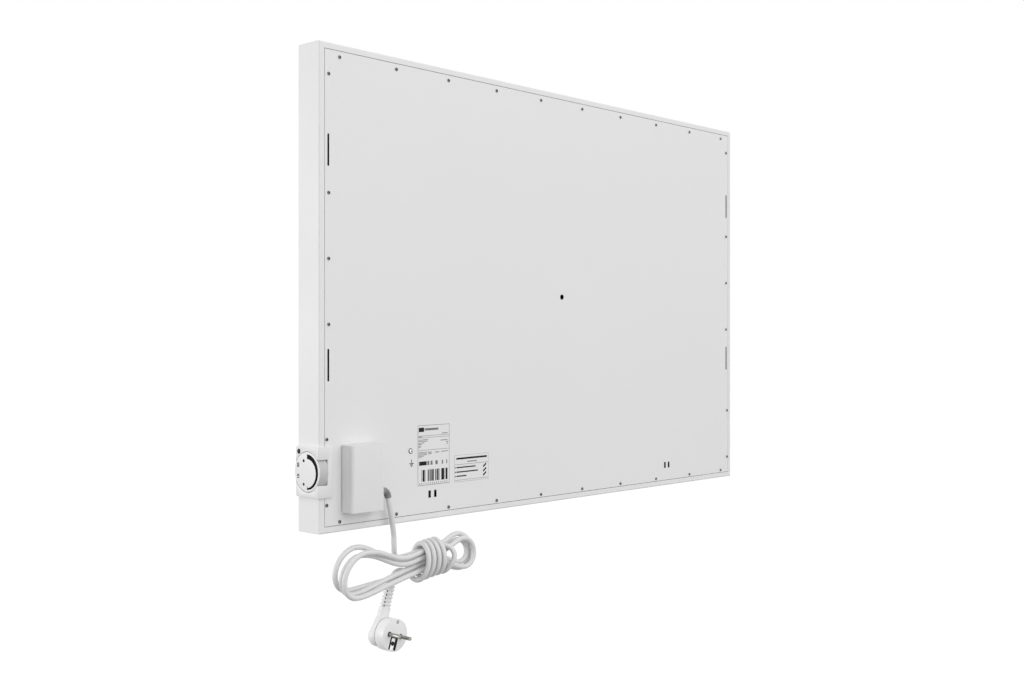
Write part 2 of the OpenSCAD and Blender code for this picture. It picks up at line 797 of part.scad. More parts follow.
// Cord clamp inside the box
clamp_u = box_u + box_w - 12.4;
clamp_w = 8;
clamp_l = 20;
clamp_bar_t = 3.6;
clamp_split = 0.8;
clamp_screw_inset = 3.2;
clamp_screw_l = 14;
clamp_top = gland_y + cord_d / 2 + clamp_bar_t - 2;
clamp_screw_places = [
    for (s = [-1, 1]) [clamp_u + clamp_w / 2, gland_v + s * (clamp_l / 2 - clamp_screw_inset)]
];
module clamp_half(y)
    difference() {
        span([clamp_u, clamp_u + clamp_w], y, [gland_v - clamp_l / 2, gland_v + clamp_l / 2]);
        bar_x([clamp_u - cut, clamp_u + clamp_w + cut], gland_y, gland_v, cord_d / 2 + thread_gap);
        for (p = clamp_screw_places)
            bar_y(p[0], [-cut, clamp_top + cut], p[1], small_screw_d / 2 + thread_gap);
    }
module cord_clamp_base() color(white_plastic) clamp_half([0, gland_y - clamp_split / 2]);
module cord_clamp_bar() color(white_plastic) clamp_half([gland_y + clamp_split / 2, clamp_top]);
module cord_clamp_screws() color(zinc)
    for (p = clamp_screw_places)
        screw_in(
            p[0], clamp_top, p[1], small_head_d / 2, small_head_h, small_screw_d / 2,
            clamp_top + sheet_t);

// Rubber gland: flanges on both sides of the wall and a tapered bend
gland_neck_d = 10.4;
gland_flange_d = 13;
gland_flange_t = 1.5;
gland_root_d = 10;
gland_tip_d = 8.6;
gland_straight = 4.6;
gland_end_l = 2;
gland_sides = 12;
gland_steps = 8;
wall_u = box_u + box_w;
bend_u = wall_u + gland_flange_t + gland_straight;
function gland_point(a) = [
    bend_u + gland_bend_r * sin(a), gland_v - gland_bend_r * (1 - cos(a)), gland_y
];
gland_out = [sin(90 - gland_bend), -cos(90 - gland_bend), 0];
gland_tip = gland_point(gland_bend) + gland_out * gland_end_l;
gland_bend_line = [for (i = [1:gland_steps]) gland_point(gland_bend * i / gland_steps)];
step_t = 0.1;
gland_route = concat(
    [
        [wall_u - box_wall - gland_flange_t, gland_v, gland_y], [wall_u - box_wall - step_t, gland_v, gland_y],
        [wall_u - box_wall, gland_v, gland_y], [wall_u, gland_v, gland_y], [wall_u + step_t, gland_v, gland_y],
        [wall_u + gland_flange_t, gland_v, gland_y], [wall_u + gland_flange_t + step_t, gland_v, gland_y],
        [bend_u, gland_v, gland_y]
    ],
    gland_bend_line,
    [gland_tip]);
gland_taper = [for (i = [0:gland_steps + 1])
    (gland_root_d + (gland_tip_d - gland_root_d) * i / (gland_steps + 1)) / 2];
gland_radii = concat(
    [
        gland_flange_d / 2, gland_flange_d / 2, gland_neck_d / 2, gland_neck_d / 2, gland_flange_d / 2,
        gland_flange_d / 2, gland_root_d / 2
    ],
    gland_taper);
module cord_gland() color(rubber)
    sleeve([for (p = gland_route) place(p)], gland_radii, cord_d / 2 + hole_gap, gland_sides);

// The sheathed cord inside the box and the gland, and its three cores
sheath_u = box_u + box_w - 20;
core_d = 2;
core_fan = 2.2;
core_end = 5;
inside_route = concat([[sheath_u, gland_v, gland_y], [bend_u, gland_v, gland_y]], gland_bend_line, [gland_tip]);
module cord_inside() color(cord_white)
    tube([for (p = inside_route) place(p)], cord_d / 2, gland_sides);
core_starts = [
    [[-0.3, -core_fan, 12], [-4, -core_fan, 12], [-10, -1.6, 11], [-14, 3, 9]],
    [[-0.3, 0, 12], [-4, 0, 12], [-7, 1.5, 11], [-7, 5, 9]],
    [[-0.3, core_fan, 12], [-3, 2.6, 12], [-3.4, 5.5, 11], [0.4, 8, 8.5]]
];
module cord_cores()
    for (i = [0:pole_count - 1])
        color([wire_brown, wire_blue, wire_earth][i])
            tube(
                [for (p = concat(
                    [for (q = core_starts[i]) [sheath_u + q[0], gland_v + q[1], q[2]]],
                    [
                        [pole_places[i] - core_d / 4, block_v - core_d * 2, block_bore_y + core_d / 4],
                        [pole_places[i], block_v, block_bore_y],
                        [pole_places[i], block_v + core_end, block_bore_y]
                    ])) place(p)],
                core_d / 2, wire_sides);

// Grommet in the back plate, and the wires that pass it
grommet_flange = 1.6;
grommet_flange_t = 1.2;
grommet_bore_d = 9.6;
module feed_grommet() color(rubber)
    difference() {
        union() {
            bar_y(feed_u, [-sheet_t, 0], feed_v, feed_d / 2 - thread_gap);
            bar_y(feed_u, [0, grommet_flange_t], feed_v, feed_d / 2 + grommet_flange);
            bar_y(feed_u, [-sheet_t - grommet_flange_t, -sheet_t], feed_v, feed_d / 2 + grommet_flange);
        }
        bar_y(feed_u, [-sheet_t - cut - grommet_flange_t, cut + grommet_flange_t], feed_v, grommet_bore_d / 2);
    }

block_top = block_v + block_l;
supply_v = dial_v + 23;
lead_y = block_bore_y + 2;
supply_route = [
    [board_back, supply_v, board_wire_y], [board_back + wire_step, supply_v, board_wire_y],
    [mat_notch_u - wire_step, feed_v + feed_step, wire_lane], [feed_u - wire_step, feed_low, neutral_lane - wire_rise],
    [feed_u - feed_step, feed_low, -feed_out * 2], [feed_u - feed_step, feed_low, feed_out * 2],
    [pole_places[0] + feed_step, feed_low - feed_step, lead_y], [pole_places[0], block_top + feed_step, lead_y],
    [pole_places[0], block_top, block_bore_y], [pole_places[0], block_top - core_end, block_bore_y]
];
neutral_lead = [
    [feed_u, feed_v + feed_step, feed_out], [feed_u, feed_v + feed_step, 2 * feed_out],
    [feed_u, feed_v - feed_step, lead_y], [pole_places[1], block_top + wire_step, lead_y],
    [pole_places[1], block_top, block_bore_y], [pole_places[1], block_top - core_end, block_bore_y]
];
earth_lead = [
    [feed_u + feed_step, feed_low, feed_out], [feed_u + feed_step, feed_low, 2 * feed_out],
    [feed_u + 2 * feed_step, feed_low - feed_step / 2, lead_y], [pole_places[2], block_top + wire_step, lead_y],
    [pole_places[2], block_top, block_bore_y], [pole_places[2], block_top - core_end, block_bore_y]
];
module supply_wires() {
    color(wire_brown) wire(supply_route);
    color(wire_blue) wire(neutral_lead);
    color(wire_earth) wire(earth_lead);
}

// Thermostat
cover_low = dial_v - cover_h / 2;
cover_high = dial_v + cover_h / 2;
cover_edge_r = 1.4;
cover_corner_r = 4;
lens_y = -35.6;
lens_inset = 6.5;
lens_v = cover_high - lens_inset;
lens_proud = 0.4;
lens_l = 8;
lens_flange_d = 5.8;
lens_flange_t = 1;
lead_d = 0.6;
lead_span = 2.5;
carrier_screw_d = 2.8;
carrier_head_d = 5;
carrier_head_h = 1.6;
carrier_bite = 2.6;
carrier_inset = 4.3;
carrier_low = cover_low + carrier_inset;
carrier_high = cover_high - carrier_inset;
carrier_front = -34.5;
carrier_rear = -6.5;
carrier_places = [[carrier_front, carrier_low], [carrier_rear, carrier_low], [carrier_rear, carrier_high]];

module thermostat_cover() color(white_plastic)
    difference() {
        intersection() {
            along_z([at_z(cover_low), at_z(cover_high)]) {
                soft_rect([at_x(0), at_x(-cover_t)], [-panel_t, cover_back], cover_edge_r);
                soft_rect([at_x(cover_flange), at_x(-cover_t)], [0, cover_back], cover_edge_r);
            }
            along_x([at_x(cover_flange), at_x(-cover_t)])
                soft_rect(
                    [-panel_t, cover_back + 2 * cover_corner_r], [at_z(cover_low), at_z(cover_high)],
                    cover_corner_r);
        }
        bar_x([-cover_t - cut, cut], -dial_depth, dial_v, dial_d / 2 + dial_gap);
        span(
            [-cover_t - cut, window_w], [-cut, cover_back + cut], [dial_v - window_h / 2, dial_v + window_h / 2]);
        bar_x([-cover_t - cut, cut], lens_y, lens_v, lens_d / 2 + hole_gap / 2);
        for (p = carrier_places)
            bar_x([-carrier_bite - hole_gap, cut], p[0], p[1], carrier_screw_d / 2 + thread_gap);
    }

carrier_u = 12.2;
carrier_t = 2;
carrier_post_d = 6;
peg_d = 6;
peg_tip_d = 2.6;
peg_tip_l = 1;
peg_rise = 21;
peg_places = [[-32, dial_v - peg_rise], [-9, dial_v + peg_rise]];
bushing_d = 7;
board_t = 1.6;
board_u = board_back - board_t;
board_half_h = 25;
board_front = -37.5;
board_rear = -6;
carrier_back = carrier_u + carrier_t;
module thermostat_carrier() color([0.85, 0.85, 0.85])
    difference() {
        union() {
            span(
                [carrier_u, carrier_back], [carrier_front - carrier_post_d / 2, carrier_rear + carrier_post_d / 2],
                [carrier_low - carrier_post_d / 2, carrier_high + carrier_post_d / 2]);
            for (p = carrier_places)
                bar_x([sheet_t, carrier_back], p[0], p[1], carrier_post_d / 2);
            for (p = peg_places) {
                bar_x([carrier_back - carrier_t / 2, board_u], p[0], p[1], peg_d / 2);
                bar_x([board_u - carrier_t, board_back + peg_tip_l], p[0], p[1], peg_tip_d / 2);
            }
        }
        for (p = carrier_places)
            bar_x([0, carrier_back + cut], p[0], p[1], carrier_screw_d / 2 + hole_gap);
        bar_x([0, carrier_back + cut], -dial_depth, dial_v, bushing_d / 2 + hole_gap);
        bar_x([0, carrier_back + cut], lens_y, lens_v, lead_span);
    }

module carrier_screws() color(zinc)
    for (p = carrier_places)
        screw_side(
            carrier_back, p[0], p[1], carrier_head_d / 2, carrier_head_h, carrier_screw_d / 2,
            carrier_back + carrier_bite);

// Dial: a cup with a hub, turned by hand at its rim
dial_face_t = 2.5;
dial_rim_t = 2.5;
dial_edge_r = 0.8;
hub_d = 12;
hub_end = 7;
hub_bore_start = -0.5;
flat_share = 0.5;
dial_in = dial_t - cover_t;
module shaft_form(r, u)
    difference() {
        bar_x(u, -dial_depth, dial_v, r);
        span(
            [u[0] - cut, min(u[1], hub_end) + hole_gap],
            [-dial_depth - 2 * r, -dial_depth + 2 * r],
            [dial_v + r * (flat_share + 1 / 6), dial_v + 2 * r]);
    }

module dial_wheel() color(white_plastic)
    difference() {
        union() {
            translate([at_x(-cover_t), -dial_depth, at_z(dial_v)])
                rotate([0, -90, 0])
                    rotate_extrude()
                        difference() {
                            union() {
                                translate([0, dial_edge_r]) square([dial_d / 2, dial_t - dial_edge_r]);
                                square([dial_d / 2 - dial_edge_r, dial_edge_r]);
                                translate([dial_d / 2 - dial_edge_r, dial_edge_r]) circle(dial_edge_r);
                            }
                            translate([0, dial_face_t]) square([dial_d / 2 - dial_rim_t, dial_t]);
                            translate([-dial_d, -cut]) square([dial_d, dial_t + 2 * cut]);
                        }
            bar_x([-cover_t + dial_face_t / 2, hub_end], -dial_depth, dial_v, hub_d / 2);
        }
        shaft_form(shaft_d / 2 + thread_gap, [hub_bore_start, hub_end + cut]);
    }

regulator_l = 7.8;
regulator_d = 17;
shaft_end = carrier_back + regulator_l - 1.5;
module dial_shaft() color(nickel)
    shaft_form(shaft_d / 2, [hub_bore_start + hole_gap, shaft_end]);

bushing_start = 8.6;
module dial_regulator() color([0.3, 0.32, 0.36])
    difference() {
        union() {
            bar_x([carrier_back, board_u], -dial_depth, dial_v, regulator_d / 2);
            bar_x([bushing_start, carrier_back], -dial_depth, dial_v, bushing_d / 2);
        }
        bar_x([bushing_start - cut, shaft_end + hole_gap], -dial_depth, dial_v, shaft_d / 2 + shaft_gap);
    }

nut_t = 2.2;
nut_d = 11.5;
module regulator_nut() color(nickel)
    difference() {
        translate([at_x(carrier_u), -dial_depth, at_z(dial_v)])
            rotate([0, 90, 0]) cylinder(r = nut_d / 2, h = nut_t, $fn = 6);
        bar_x([bushing_start - cut, carrier_back], -dial_depth, dial_v, bushing_d / 2 + thread_gap);
    }

module control_board() color(board_green)
    difference() {
        span([board_u, board_back], [board_front, board_rear], [dial_v - board_half_h, dial_v + board_half_h]);
        for (p = peg_places)
            bar_x([board_u - cut, board_back + cut], p[0], p[1], peg_tip_d / 2 + thread_gap);
    }

relay_l = 15.4;
relay_w = 15.6;
relay_h = 19;
relay_front = -33;
relay_low = dial_v + 1.5;
module relay() color([0.13, 0.13, 0.14])
    span([board_back, board_back + relay_l], [relay_front, relay_front + relay_w], [relay_low, relay_low + relay_h]);

module indicator_lens() {
    color([0.22, 0.03, 0.04])
        union() {
            bar_x([-cover_t - lens_proud, lens_l - cover_t], lens_y, lens_v, lens_d / 2);
            bar_x([hole_gap, lens_flange_t + hole_gap], lens_y, lens_v, lens_flange_d / 2);
        }
    for (s = [-1, 1])
        color(nickel)
            bar_x([lens_l - cover_t, board_u], lens_y, lens_v + s * lead_span / 2, lead_d / 2);
}

bead_d = 3;
bead_drop = 3.5;
module air_sensor() color([0.1, 0.1, 0.12])
    union() {
        translate([at_x((board_u + board_back) / 2), -dial_depth, at_z(dial_v - board_half_h - bead_drop)])
            sphere(r = bead_d / 2);
        bar_z(
            (board_u + board_back) / 2, -dial_depth,
            [dial_v - board_half_h - bead_drop, dial_v - board_half_h], lead_d / 2);
    }

// Labels
rating_u = 161;
rating_v = 44.7;
notice_u = 227.8;
notice_v = 44.5;
module rating_label() color(label_white)
    span([rating_u, rating_u + rating_w], [0, label_t], [rating_v, rating_v + rating_h]);
module notice_label() color(label_white)
    span([notice_u, notice_u + notice_w], [0, label_t], [notice_v, notice_v + notice_h]);

// Hank: three loops drawn in at the waist, in two layers, wraps round the waist and the tail.
// One lap runs along the top to the small fold, back along the bottom, round the large fold and on.
// The laps stand apart at the large fold. The cord comes in behind them from above.
waist_near = 132;
waist_mid = 168;
waist_far = 182.93;
near_lift = -4;
far_lift = 0;
sag = 6.78;
sag_u = 120;
sag_w = 36;
loop_sides = 6;
laps = 3;
lap_rings = 24;
wrap_rings = 24;
wrap_from = 187.23;
wrap_to = 149.89;
wrap_gaps = 4;
wrap_fan = 1.54;
wrap_rise = 1.06;
wrap_lean = 0.92;
turn_soft_share = 0.12;
slope_share = 0.001;
entry_share = -0.02;
leave_share = 3.02;
wrap_start_share = 0.17;
wrap_end_share = 4.329;
near_shift = [[3.99, -6.02], [-3.44, -5.05], [-2.77, 5]];
near_inner = 1.88;
near_squeeze_share = 0.331;
near_shear_share = 0.249;
far_shift = [-1.03, -0.99, 1.04];
far_shear_share = 0.11;
relief_top = [116.8, -78, -3.2];
plug_up = [sin(plug_lean), cos(plug_lean), 0];
hank_start = [114.6, -19, 6.33];
hank_start_dir = unit([0.09, -1, -0.051]);
under_point = [131.14, -43.76, -1.02];
under_dir = unit([1, -0.01, 0.042]);
turn_point = [193.54, -36.39, 30.04];
turn_dir = unit([0.548, -0.85, 0.639]);

run_out = far_fold_u - waist_mid;
fold_far = PI * far_fold_r;
run_back = far_fold_u - near_fold_u;
fold_near = PI * near_fold_r;
run_in = waist_mid - near_fold_u;
lap_l = run_out + fold_far + run_back + fold_near + run_in;
climb_start = 1 + (run_out + fold_far) / lap_l;
climb_end = 1 + (run_out + fold_far + run_back) / lap_l;
turn_back = (climb_start + climb_end) / 2;
ring_table = [
    [0, 0], [3, run_out / lap_l], [9, (run_out + fold_far) / lap_l],
    [14, (run_out + fold_far + run_back) / lap_l], [20, (lap_l - run_in) / lap_l], [24, 1]
];

function near_part(u) = smooth((waist_near - u) / (waist_near - near_fold_u));
function far_part(u) = smooth((u - waist_far) / (far_fold_u - waist_far));
function loop_half(u) = waist_half + (near_fold_r - waist_half) * near_part(u)
    + (far_fold_r - waist_half) * far_part(u);
function outline(t) = let (s = (t - floor(t)) * lap_l, degree = 180 / PI)
    s < run_out ? [waist_mid + s, loop_half(waist_mid + s)] :
    s < run_out + fold_far ? let (a = 90 - (s - run_out) / far_fold_r * degree)
        [far_fold_u + far_fold_r * cos(a), far_fold_r * sin(a)] :
    s < lap_l - run_in - fold_near ? let (u = far_fold_u - (s - run_out - fold_far)) [u, -loop_half(u)] :
    s < lap_l - run_in ? let (a = -90 - (s - run_out - fold_far - run_back) / near_fold_r * degree)
        [near_fold_u + near_fold_r * cos(a), near_fold_r * sin(a)] :
    let (u = near_fold_u + s - (lap_l - run_in)) [u, loop_half(u)];
function bundle_v(u) = hank_v + near_lift
    + (far_lift - near_lift) * smooth((u - near_fold_u) / (far_fold_u - near_fold_u))
    - sag * exp(-pow((u - sag_u) / sag_w, 2));
function loop_point(t) = let (
        o = outline(t),
        g = unit(outline(t + slope_share) - outline(t - slope_share)),
        near = near_part(o[0]),
        far = far_part(o[0]),
        k = min(laps - 1, max(0, floor(t))),
        q = turn_back - sqrt(pow(t - turn_back, 2) + pow(turn_soft_share, 2)),
        inner = strand_pitch * q * (1 - near_squeeze_share * near) + (k == laps - 1 ? near_inner * near : 0),
        b = o + [g[1], -g[0]] * inner,
        layer = smooth((t - climb_start) / (climb_end - climb_start)) - 1 / 2)
    [
        b[0] + (near_shear_share * near - far_shear_share * far) * b[1],
        bundle_v(b[0]) + b[1] + near * near_shift[k][0],
        hank_y + strand_pitch * layer + near * near_shift[k][1] + far * far_shift[k]
    ];
wrap_mid = (wrap_from + wrap_to) / 2;
wrap_pitch = (wrap_from - wrap_to) / wrap_gaps;
function wrap_point(n) = let (
        a = 360 * n + 180,
        u = wrap_mid - (n - wrap_gaps / 2) * (wrap_pitch - wrap_fan * sin(a)))
    [u - wrap_lean * sin(a), bundle_v(u) + wrap_rise + wrap_half_h * sin(a), hank_y - wrap_half_t * cos(a)];
function loop_dir(t) = unit(loop_point(t + slope_share) - loop_point(t - slope_share));
function wrap_dir(n) = unit(wrap_point(n + slope_share) - wrap_point(n - slope_share));
function lap_share(i) = floor(i / lap_rings) + lookup(i % lap_rings, ring_table);

entry_end = hank_start + hank_start_dir * cord_d;
wrap_leave = wrap_point(wrap_end_share);
tail_start = relief_top + plug_up * cord_d;
wrap_steps = round((wrap_end_share - wrap_start_share) * wrap_rings);
hank_points = concat(
    [hank_start, entry_end],
    between(entry_end, hank_start_dir, under_point, under_dir, 0.396, 0.424, 6),
    [under_point],
    between(under_point, under_dir, loop_point(entry_share), loop_dir(entry_share), 0.328, 0.373, 5),
    [loop_point(entry_share)],
    [for (i = [1:laps * lap_rings]) loop_point(lap_share(i))],
    [loop_point(leave_share)],
    between(loop_point(leave_share), loop_dir(leave_share), turn_point, turn_dir, 0.488, 0.33, 5),
    [turn_point],
    between(turn_point, turn_dir, wrap_point(wrap_start_share), wrap_dir(wrap_start_share), 0.492, 0.419, 5),
    [for (i = [0:wrap_steps])
        wrap_point(wrap_start_share + (wrap_end_share - wrap_start_share) * i / wrap_steps)],
    between(wrap_leave, wrap_dir(wrap_end_share), tail_start, -plug_up, 0.612, 0.613, 8),
    [tail_start, relief_top]);

// Least gap of the hank to itself: from points along its middle line to its far pieces
function piece_gap(p, a, b) = let (k = min(1, max(0, (p - a) * (b - a) / ((b - a) * (b - a))))) norm(p - a - k * (b - a));
far_pieces = 5;
function least_gap(h) = min([
    for (i = [0:len(h) - 2])
        for (k = [0, 1 / 3, 2 / 3])
            let (p = h[i] * (1 - k) + h[i + 1] * k)
            for (j = [i + far_pieces:1:len(h) - 2])
                piece_gap(p, h[j], h[j + 1])
]) - cord_d;
function route_length(h) = sum_of([for (i = [1:len(h) - 1]) norm(h[i] - h[i - 1])]);
function sum_of(v) = v * [for (x = v) 1];

module cord_hank() {
    echo(hank_gap = least_gap(hank_points), hank_length = route_length(hank_points));
    color(cord_white) tube([for (p = hank_points) place(p)], cord_d / 2, loop_sides);
}

// Free stretch of the cord, as round points of distance, height and depth
cord_sides = 8;
drop_route = concat(
    [gland_tip, gland_tip + gland_out * cord_d],
    [[108, 8, 10]],
    [hank_start - hank_start_dir * cord_d, hank_start]);
module cord_drop() color(cord_white)
    tube([for (p = drop_route) place(p)], cord_d / 2, cord_sides);

// Plug: its own z runs down along the cord, its y runs out of the pins' face
relief_top_d = 13.6;
relief_end_d = 14.8;
relief_core_share = 0.62;
rib_share = 0.5;
neck_l = 10;
neck_d = 15;
face_s = 59.5;
grip_s = 65;
grip_r = 13;
flare_in = 6;
flare_small_r = 9.5;
seam_step = 0.3;
plug_seam_y = plug_back_t - grip_r;
plug_face_y = plug_seam_y + plug_front_t;
module plug_frame()
    translate(place(relief_top))
        rotate([0, -plug_lean, 0])
            rotate([180, 0, 0]) children();
module plug_bar(x, z, y, r)
    plug_frame()
        translate([x, -y[0], z]) rotate([90, 0, 0]) cylinder(r = r, h = y[1] - y[0]);

rib_pitch = relief_l / rib_count;
rib_t = rib_pitch * rib_share;
function relief_r(s) = (relief_top_d + (relief_end_d - relief_top_d) * s / relief_l) / 2;
module plug_relief() color(cord_white)
    plug_frame()
        union() {
            cylinder(r = relief_end_d / 2 * relief_core_share, h = relief_l + neck_l / 2);
            for (i = [0:rib_count - 1])
                translate([0, 0, i * rib_pitch])
                    cylinder(r = relief_r(i * rib_pitch), h = rib_t);
        }

module plug_body() color(cord_white)
    difference() {
        plug_frame()
            union() {
                translate([0, 0, relief_l]) cylinder(r = neck_d / 2, h = neck_l);
                translate([0, 0, relief_l + neck_l])
                    cylinder(r1 = neck_d / 2, r2 = grip_r, h = grip_s - relief_l - neck_l);
                translate([0, 0, grip_s]) sphere(r = grip_r);
                translate([0, flare_in, face_s])
                    rotate([90, 0, 0])
                        cylinder(r1 = flare_small_r, r2 = plug_d / 2 - seam_step, h = plug_seam_y + flare_in);
            }
        plug_frame()
            cylinder(r = relief_end_d / 2 * relief_core_share + thread_gap, h = relief_l + neck_l / 2 + thread_gap);
    }

contact_w = 12.4;
contact_top = 2.2;
contact_end = 18.4;
contact_depth = 9;
plate_w = 7.6;
contact_plate_t = 1;
contact_bore_d = 5.6;
notch_w = 5;
notch_depth = 1.5;
pin_root = 8;
pin_neck_d = 4;
pin_tip_r = 1;
module plug_box(x, z, y)
    plug_frame()
        translate([x[0], -y[1], z[0]]) cube([x[1] - x[0], y[1] - y[0], z[1] - z[0]]);
module plug_disc() color(cord_white)
    difference() {
        plug_bar(0, face_s, [plug_seam_y, plug_face_y], plug_d / 2);
        for (s = [-1, 1])
            plug_bar(s * pin_span / 2, face_s, [plug_face_y - pin_root, plug_face_y + cut], pin_neck_d / 2 + thread_gap);
        plug_box(
            [-contact_w / 2, contact_w / 2], [face_s + contact_top, face_s + contact_end],
            [plug_face_y - contact_depth, plug_face_y + cut]);
        plug_box(
            [-notch_w / 2, notch_w / 2], [face_s - plug_d / 2 - cut, face_s - plug_d / 2 + notch_depth],
            [plug_face_y - contact_depth, plug_face_y + cut]);
    }

module plug_pins() color(nickel)
    for (s = [-1, 1])
        plug_frame()
            translate([s * pin_span / 2, -(plug_face_y - pin_root), face_s])
                rotate([90, 0, 0])
                    rotate_extrude() {
                        square([pin_neck_d / 2, pin_root]);
                        translate([0, pin_root]) square([pin_d / 2, pin_l - pin_tip_r]);
                        translate([0, pin_root]) square([pin_d / 2 - pin_tip_r, pin_l]);
                        intersection() {
                            translate([pin_d / 2 - pin_tip_r, pin_root + pin_l - pin_tip_r]) circle(pin_tip_r);
                            square([pin_d, pin_root + pin_l]);
                        }
                    }

contact_mid = face_s + (contact_top + contact_end) / 2;
module plug_earth_contact() color(nickel)
    difference() {
        plug_box(
            [-plate_w / 2, plate_w / 2],
            [face_s + contact_top + contact_plate_t, face_s + contact_end],
            [plug_face_y - contact_depth, plug_face_y - contact_plate_t]);
        plug_bar(0, contact_mid, [plug_face_y - contact_depth + contact_plate_t, plug_face_y + cut], contact_bore_d / 2);
    }

casing();
back_plate();
top_rail();
bottom_rail();
thermostat_side_rail();
far_side_rail();
back_plate_screws();
heating_element();
busbars();
busbar_terminals();
reflector_foil();
insulation_mat();
thermal_cutout();
element_wires();
earth_screw();
earth_nut();
earth_wire();
junction_box();
junction_box_screws();
terminal_block();
terminal_inserts();
terminal_screws();
terminal_block_screws();
cord_clamp_base();
cord_clamp_bar();
cord_clamp_screws();
cord_gland();
feed_grommet();
cord_inside();
cord_cores();
supply_wires();
thermostat_cover();
thermostat_carrier();
carrier_screws();
dial_wheel();
dial_shaft();
dial_regulator();
regulator_nut();
control_board();
relay();
indicator_lens();
air_sensor();
rating_label();
notice_label();
cord_drop();
cord_hank();
plug_relief();
plug_body();
plug_disc();
plug_pins();
plug_earth_contact();
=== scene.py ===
import json
import math

import bmesh
import bpy
from bpy.props import FloatProperty, FloatVectorProperty, IntProperty, PointerProperty, StringProperty
from mathutils import Matrix, Vector

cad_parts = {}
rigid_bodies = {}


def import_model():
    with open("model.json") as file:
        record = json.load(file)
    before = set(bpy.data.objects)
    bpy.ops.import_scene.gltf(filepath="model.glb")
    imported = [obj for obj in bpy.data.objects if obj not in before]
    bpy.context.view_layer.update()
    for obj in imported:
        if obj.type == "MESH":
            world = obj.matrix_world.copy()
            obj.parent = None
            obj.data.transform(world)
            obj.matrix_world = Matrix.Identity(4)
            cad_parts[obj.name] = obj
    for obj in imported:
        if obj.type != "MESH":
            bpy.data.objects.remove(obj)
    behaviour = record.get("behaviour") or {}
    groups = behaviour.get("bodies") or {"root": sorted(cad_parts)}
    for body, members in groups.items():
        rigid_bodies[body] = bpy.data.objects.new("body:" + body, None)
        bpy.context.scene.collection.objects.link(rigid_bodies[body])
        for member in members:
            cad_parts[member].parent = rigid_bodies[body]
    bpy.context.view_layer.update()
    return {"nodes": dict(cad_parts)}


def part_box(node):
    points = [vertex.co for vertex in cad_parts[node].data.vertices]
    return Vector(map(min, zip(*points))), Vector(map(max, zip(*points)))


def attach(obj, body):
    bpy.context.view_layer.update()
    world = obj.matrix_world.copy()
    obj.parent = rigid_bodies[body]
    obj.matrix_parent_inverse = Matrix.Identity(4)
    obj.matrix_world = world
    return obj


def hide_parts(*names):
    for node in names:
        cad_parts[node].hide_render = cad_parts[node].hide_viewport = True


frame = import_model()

bl_info = {
    "name": "Infrared Panel Heater",
    "version": (1, 0, 0),
    "blender": (4, 5, 0),
    "location": "View3D > Sidebar > Heater",
    "description": "Dresses the packed frame of a wall-hung infrared panel heater, seen from its wall side",
    "category": "Object",
}

MM = 0.001
FIXED = "heater"
TURNING = "dial"
DARK, PALE = 1, 2
WHITE = (1.0, 1.0, 1.0, 1.0)

# The panel in millimetres, from the frame
CASING_LOW, CASING_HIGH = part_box("casing")
PANEL_W = round((CASING_HIGH[0] - CASING_LOW[0]) / MM, 2)
PANEL_H = round((CASING_HIGH[2] - CASING_LOW[2]) / MM, 2)
HANG_HEIGHT = round(-CASING_LOW[2] / MM, 2)

# Places on the panel in millimetres: distance from the thermostat edge, height, depth
DIAL_V = 75.0
DIAL_DEPTH = 19.3
GLAND_TIP = (99.92, 36.915, 12.0)
GLAND_BEND = 78.0
RELIEF_TOP = (116.8, -78.0, -3.2)
PLUG_LEAN = 18.3


def turned(degrees, axis):
    return Matrix.Rotation(math.radians(degrees), 4, axis)


def at(u, v, w=0.0):
    """A point from its distance from the thermostat edge, its height and its depth, in millimetres."""
    return Vector((PANEL_W / 2 - u, w, v - HANG_HEIGHT)) * MM


# Settings

def colour(name, words, default):
    return FloatVectorProperty(name=name, description=words, default=default, size=3, subtype="COLOR",
                               min=0.0, max=1.0)


def grey(name, words, level):
    return colour(name, words, (level, level, level))


def length(name, words, default_mm):
    return FloatProperty(name=name, description=words, default=default_mm * MM, unit="LENGTH", min=0.0)


def share(name, words, default):
    return FloatProperty(name=name, description=words, default=default, subtype="FACTOR", min=0.0, max=1.0)


def power(name, words, default):
    return FloatProperty(name=name, description=words, default=default, unit="POWER", min=0.0, max=500.0)


def whole(name, words, default, least, most):
    return IntProperty(name=name, description=words, default=default, min=least, max=most)


def written(name, words, default):
    return StringProperty(name=name, description=words, default=default)


class HeaterPaintSettings(bpy.types.PropertyGroup):
    """Powder coat of the steel sheets."""
    coat: grey("Coat", "Colour of the powder coat", 0.80)
    coat_roughness: share("Roughness", "Roughness of the powder coat", 0.46)
    grain: length("Grain", "Size of the powder coat's grain", 1.1)
    grain_depth: length("Grain depth", "Depth of the powder coat's grain", 0.05)


class HeaterMouldSettings(bpy.types.PropertyGroup):
    """Moulded pieces: box, thermostat cover and dial."""
    shell: grey("Shell", "Colour of the junction box and the thermostat cover", 0.77)
    dial: grey("Dial", "Colour of the dial", 0.80)
    # A darker grey on the dial's rim: partly the rim's own tone, partly painted shade where it shows in the
    # cover's window.
    dial_wall_shade: grey("Dial wall", "Colour round the dial", 0.54)
    print_ink: grey("Print", "Colour of the printed scale", 0.004)
    lens: colour("Lens", "Colour of the indicator lens", (0.009, 0.001, 0.001))
    box_edge: length("Box edge", "Radius of the upright edges of the junction box", 4.5)
    box_cord_edge: length("Cord side edge", "Radius of its upright edges on the cord's side", 1.5)
    box_rim: length("Box rim", "Radius of the top and bottom edges of its outer face", 2.6)
    high_number: written("High number", "Number at the scale's warm end", "30")
    low_number: written("Low number", "Number at the scale's cool end", "10")


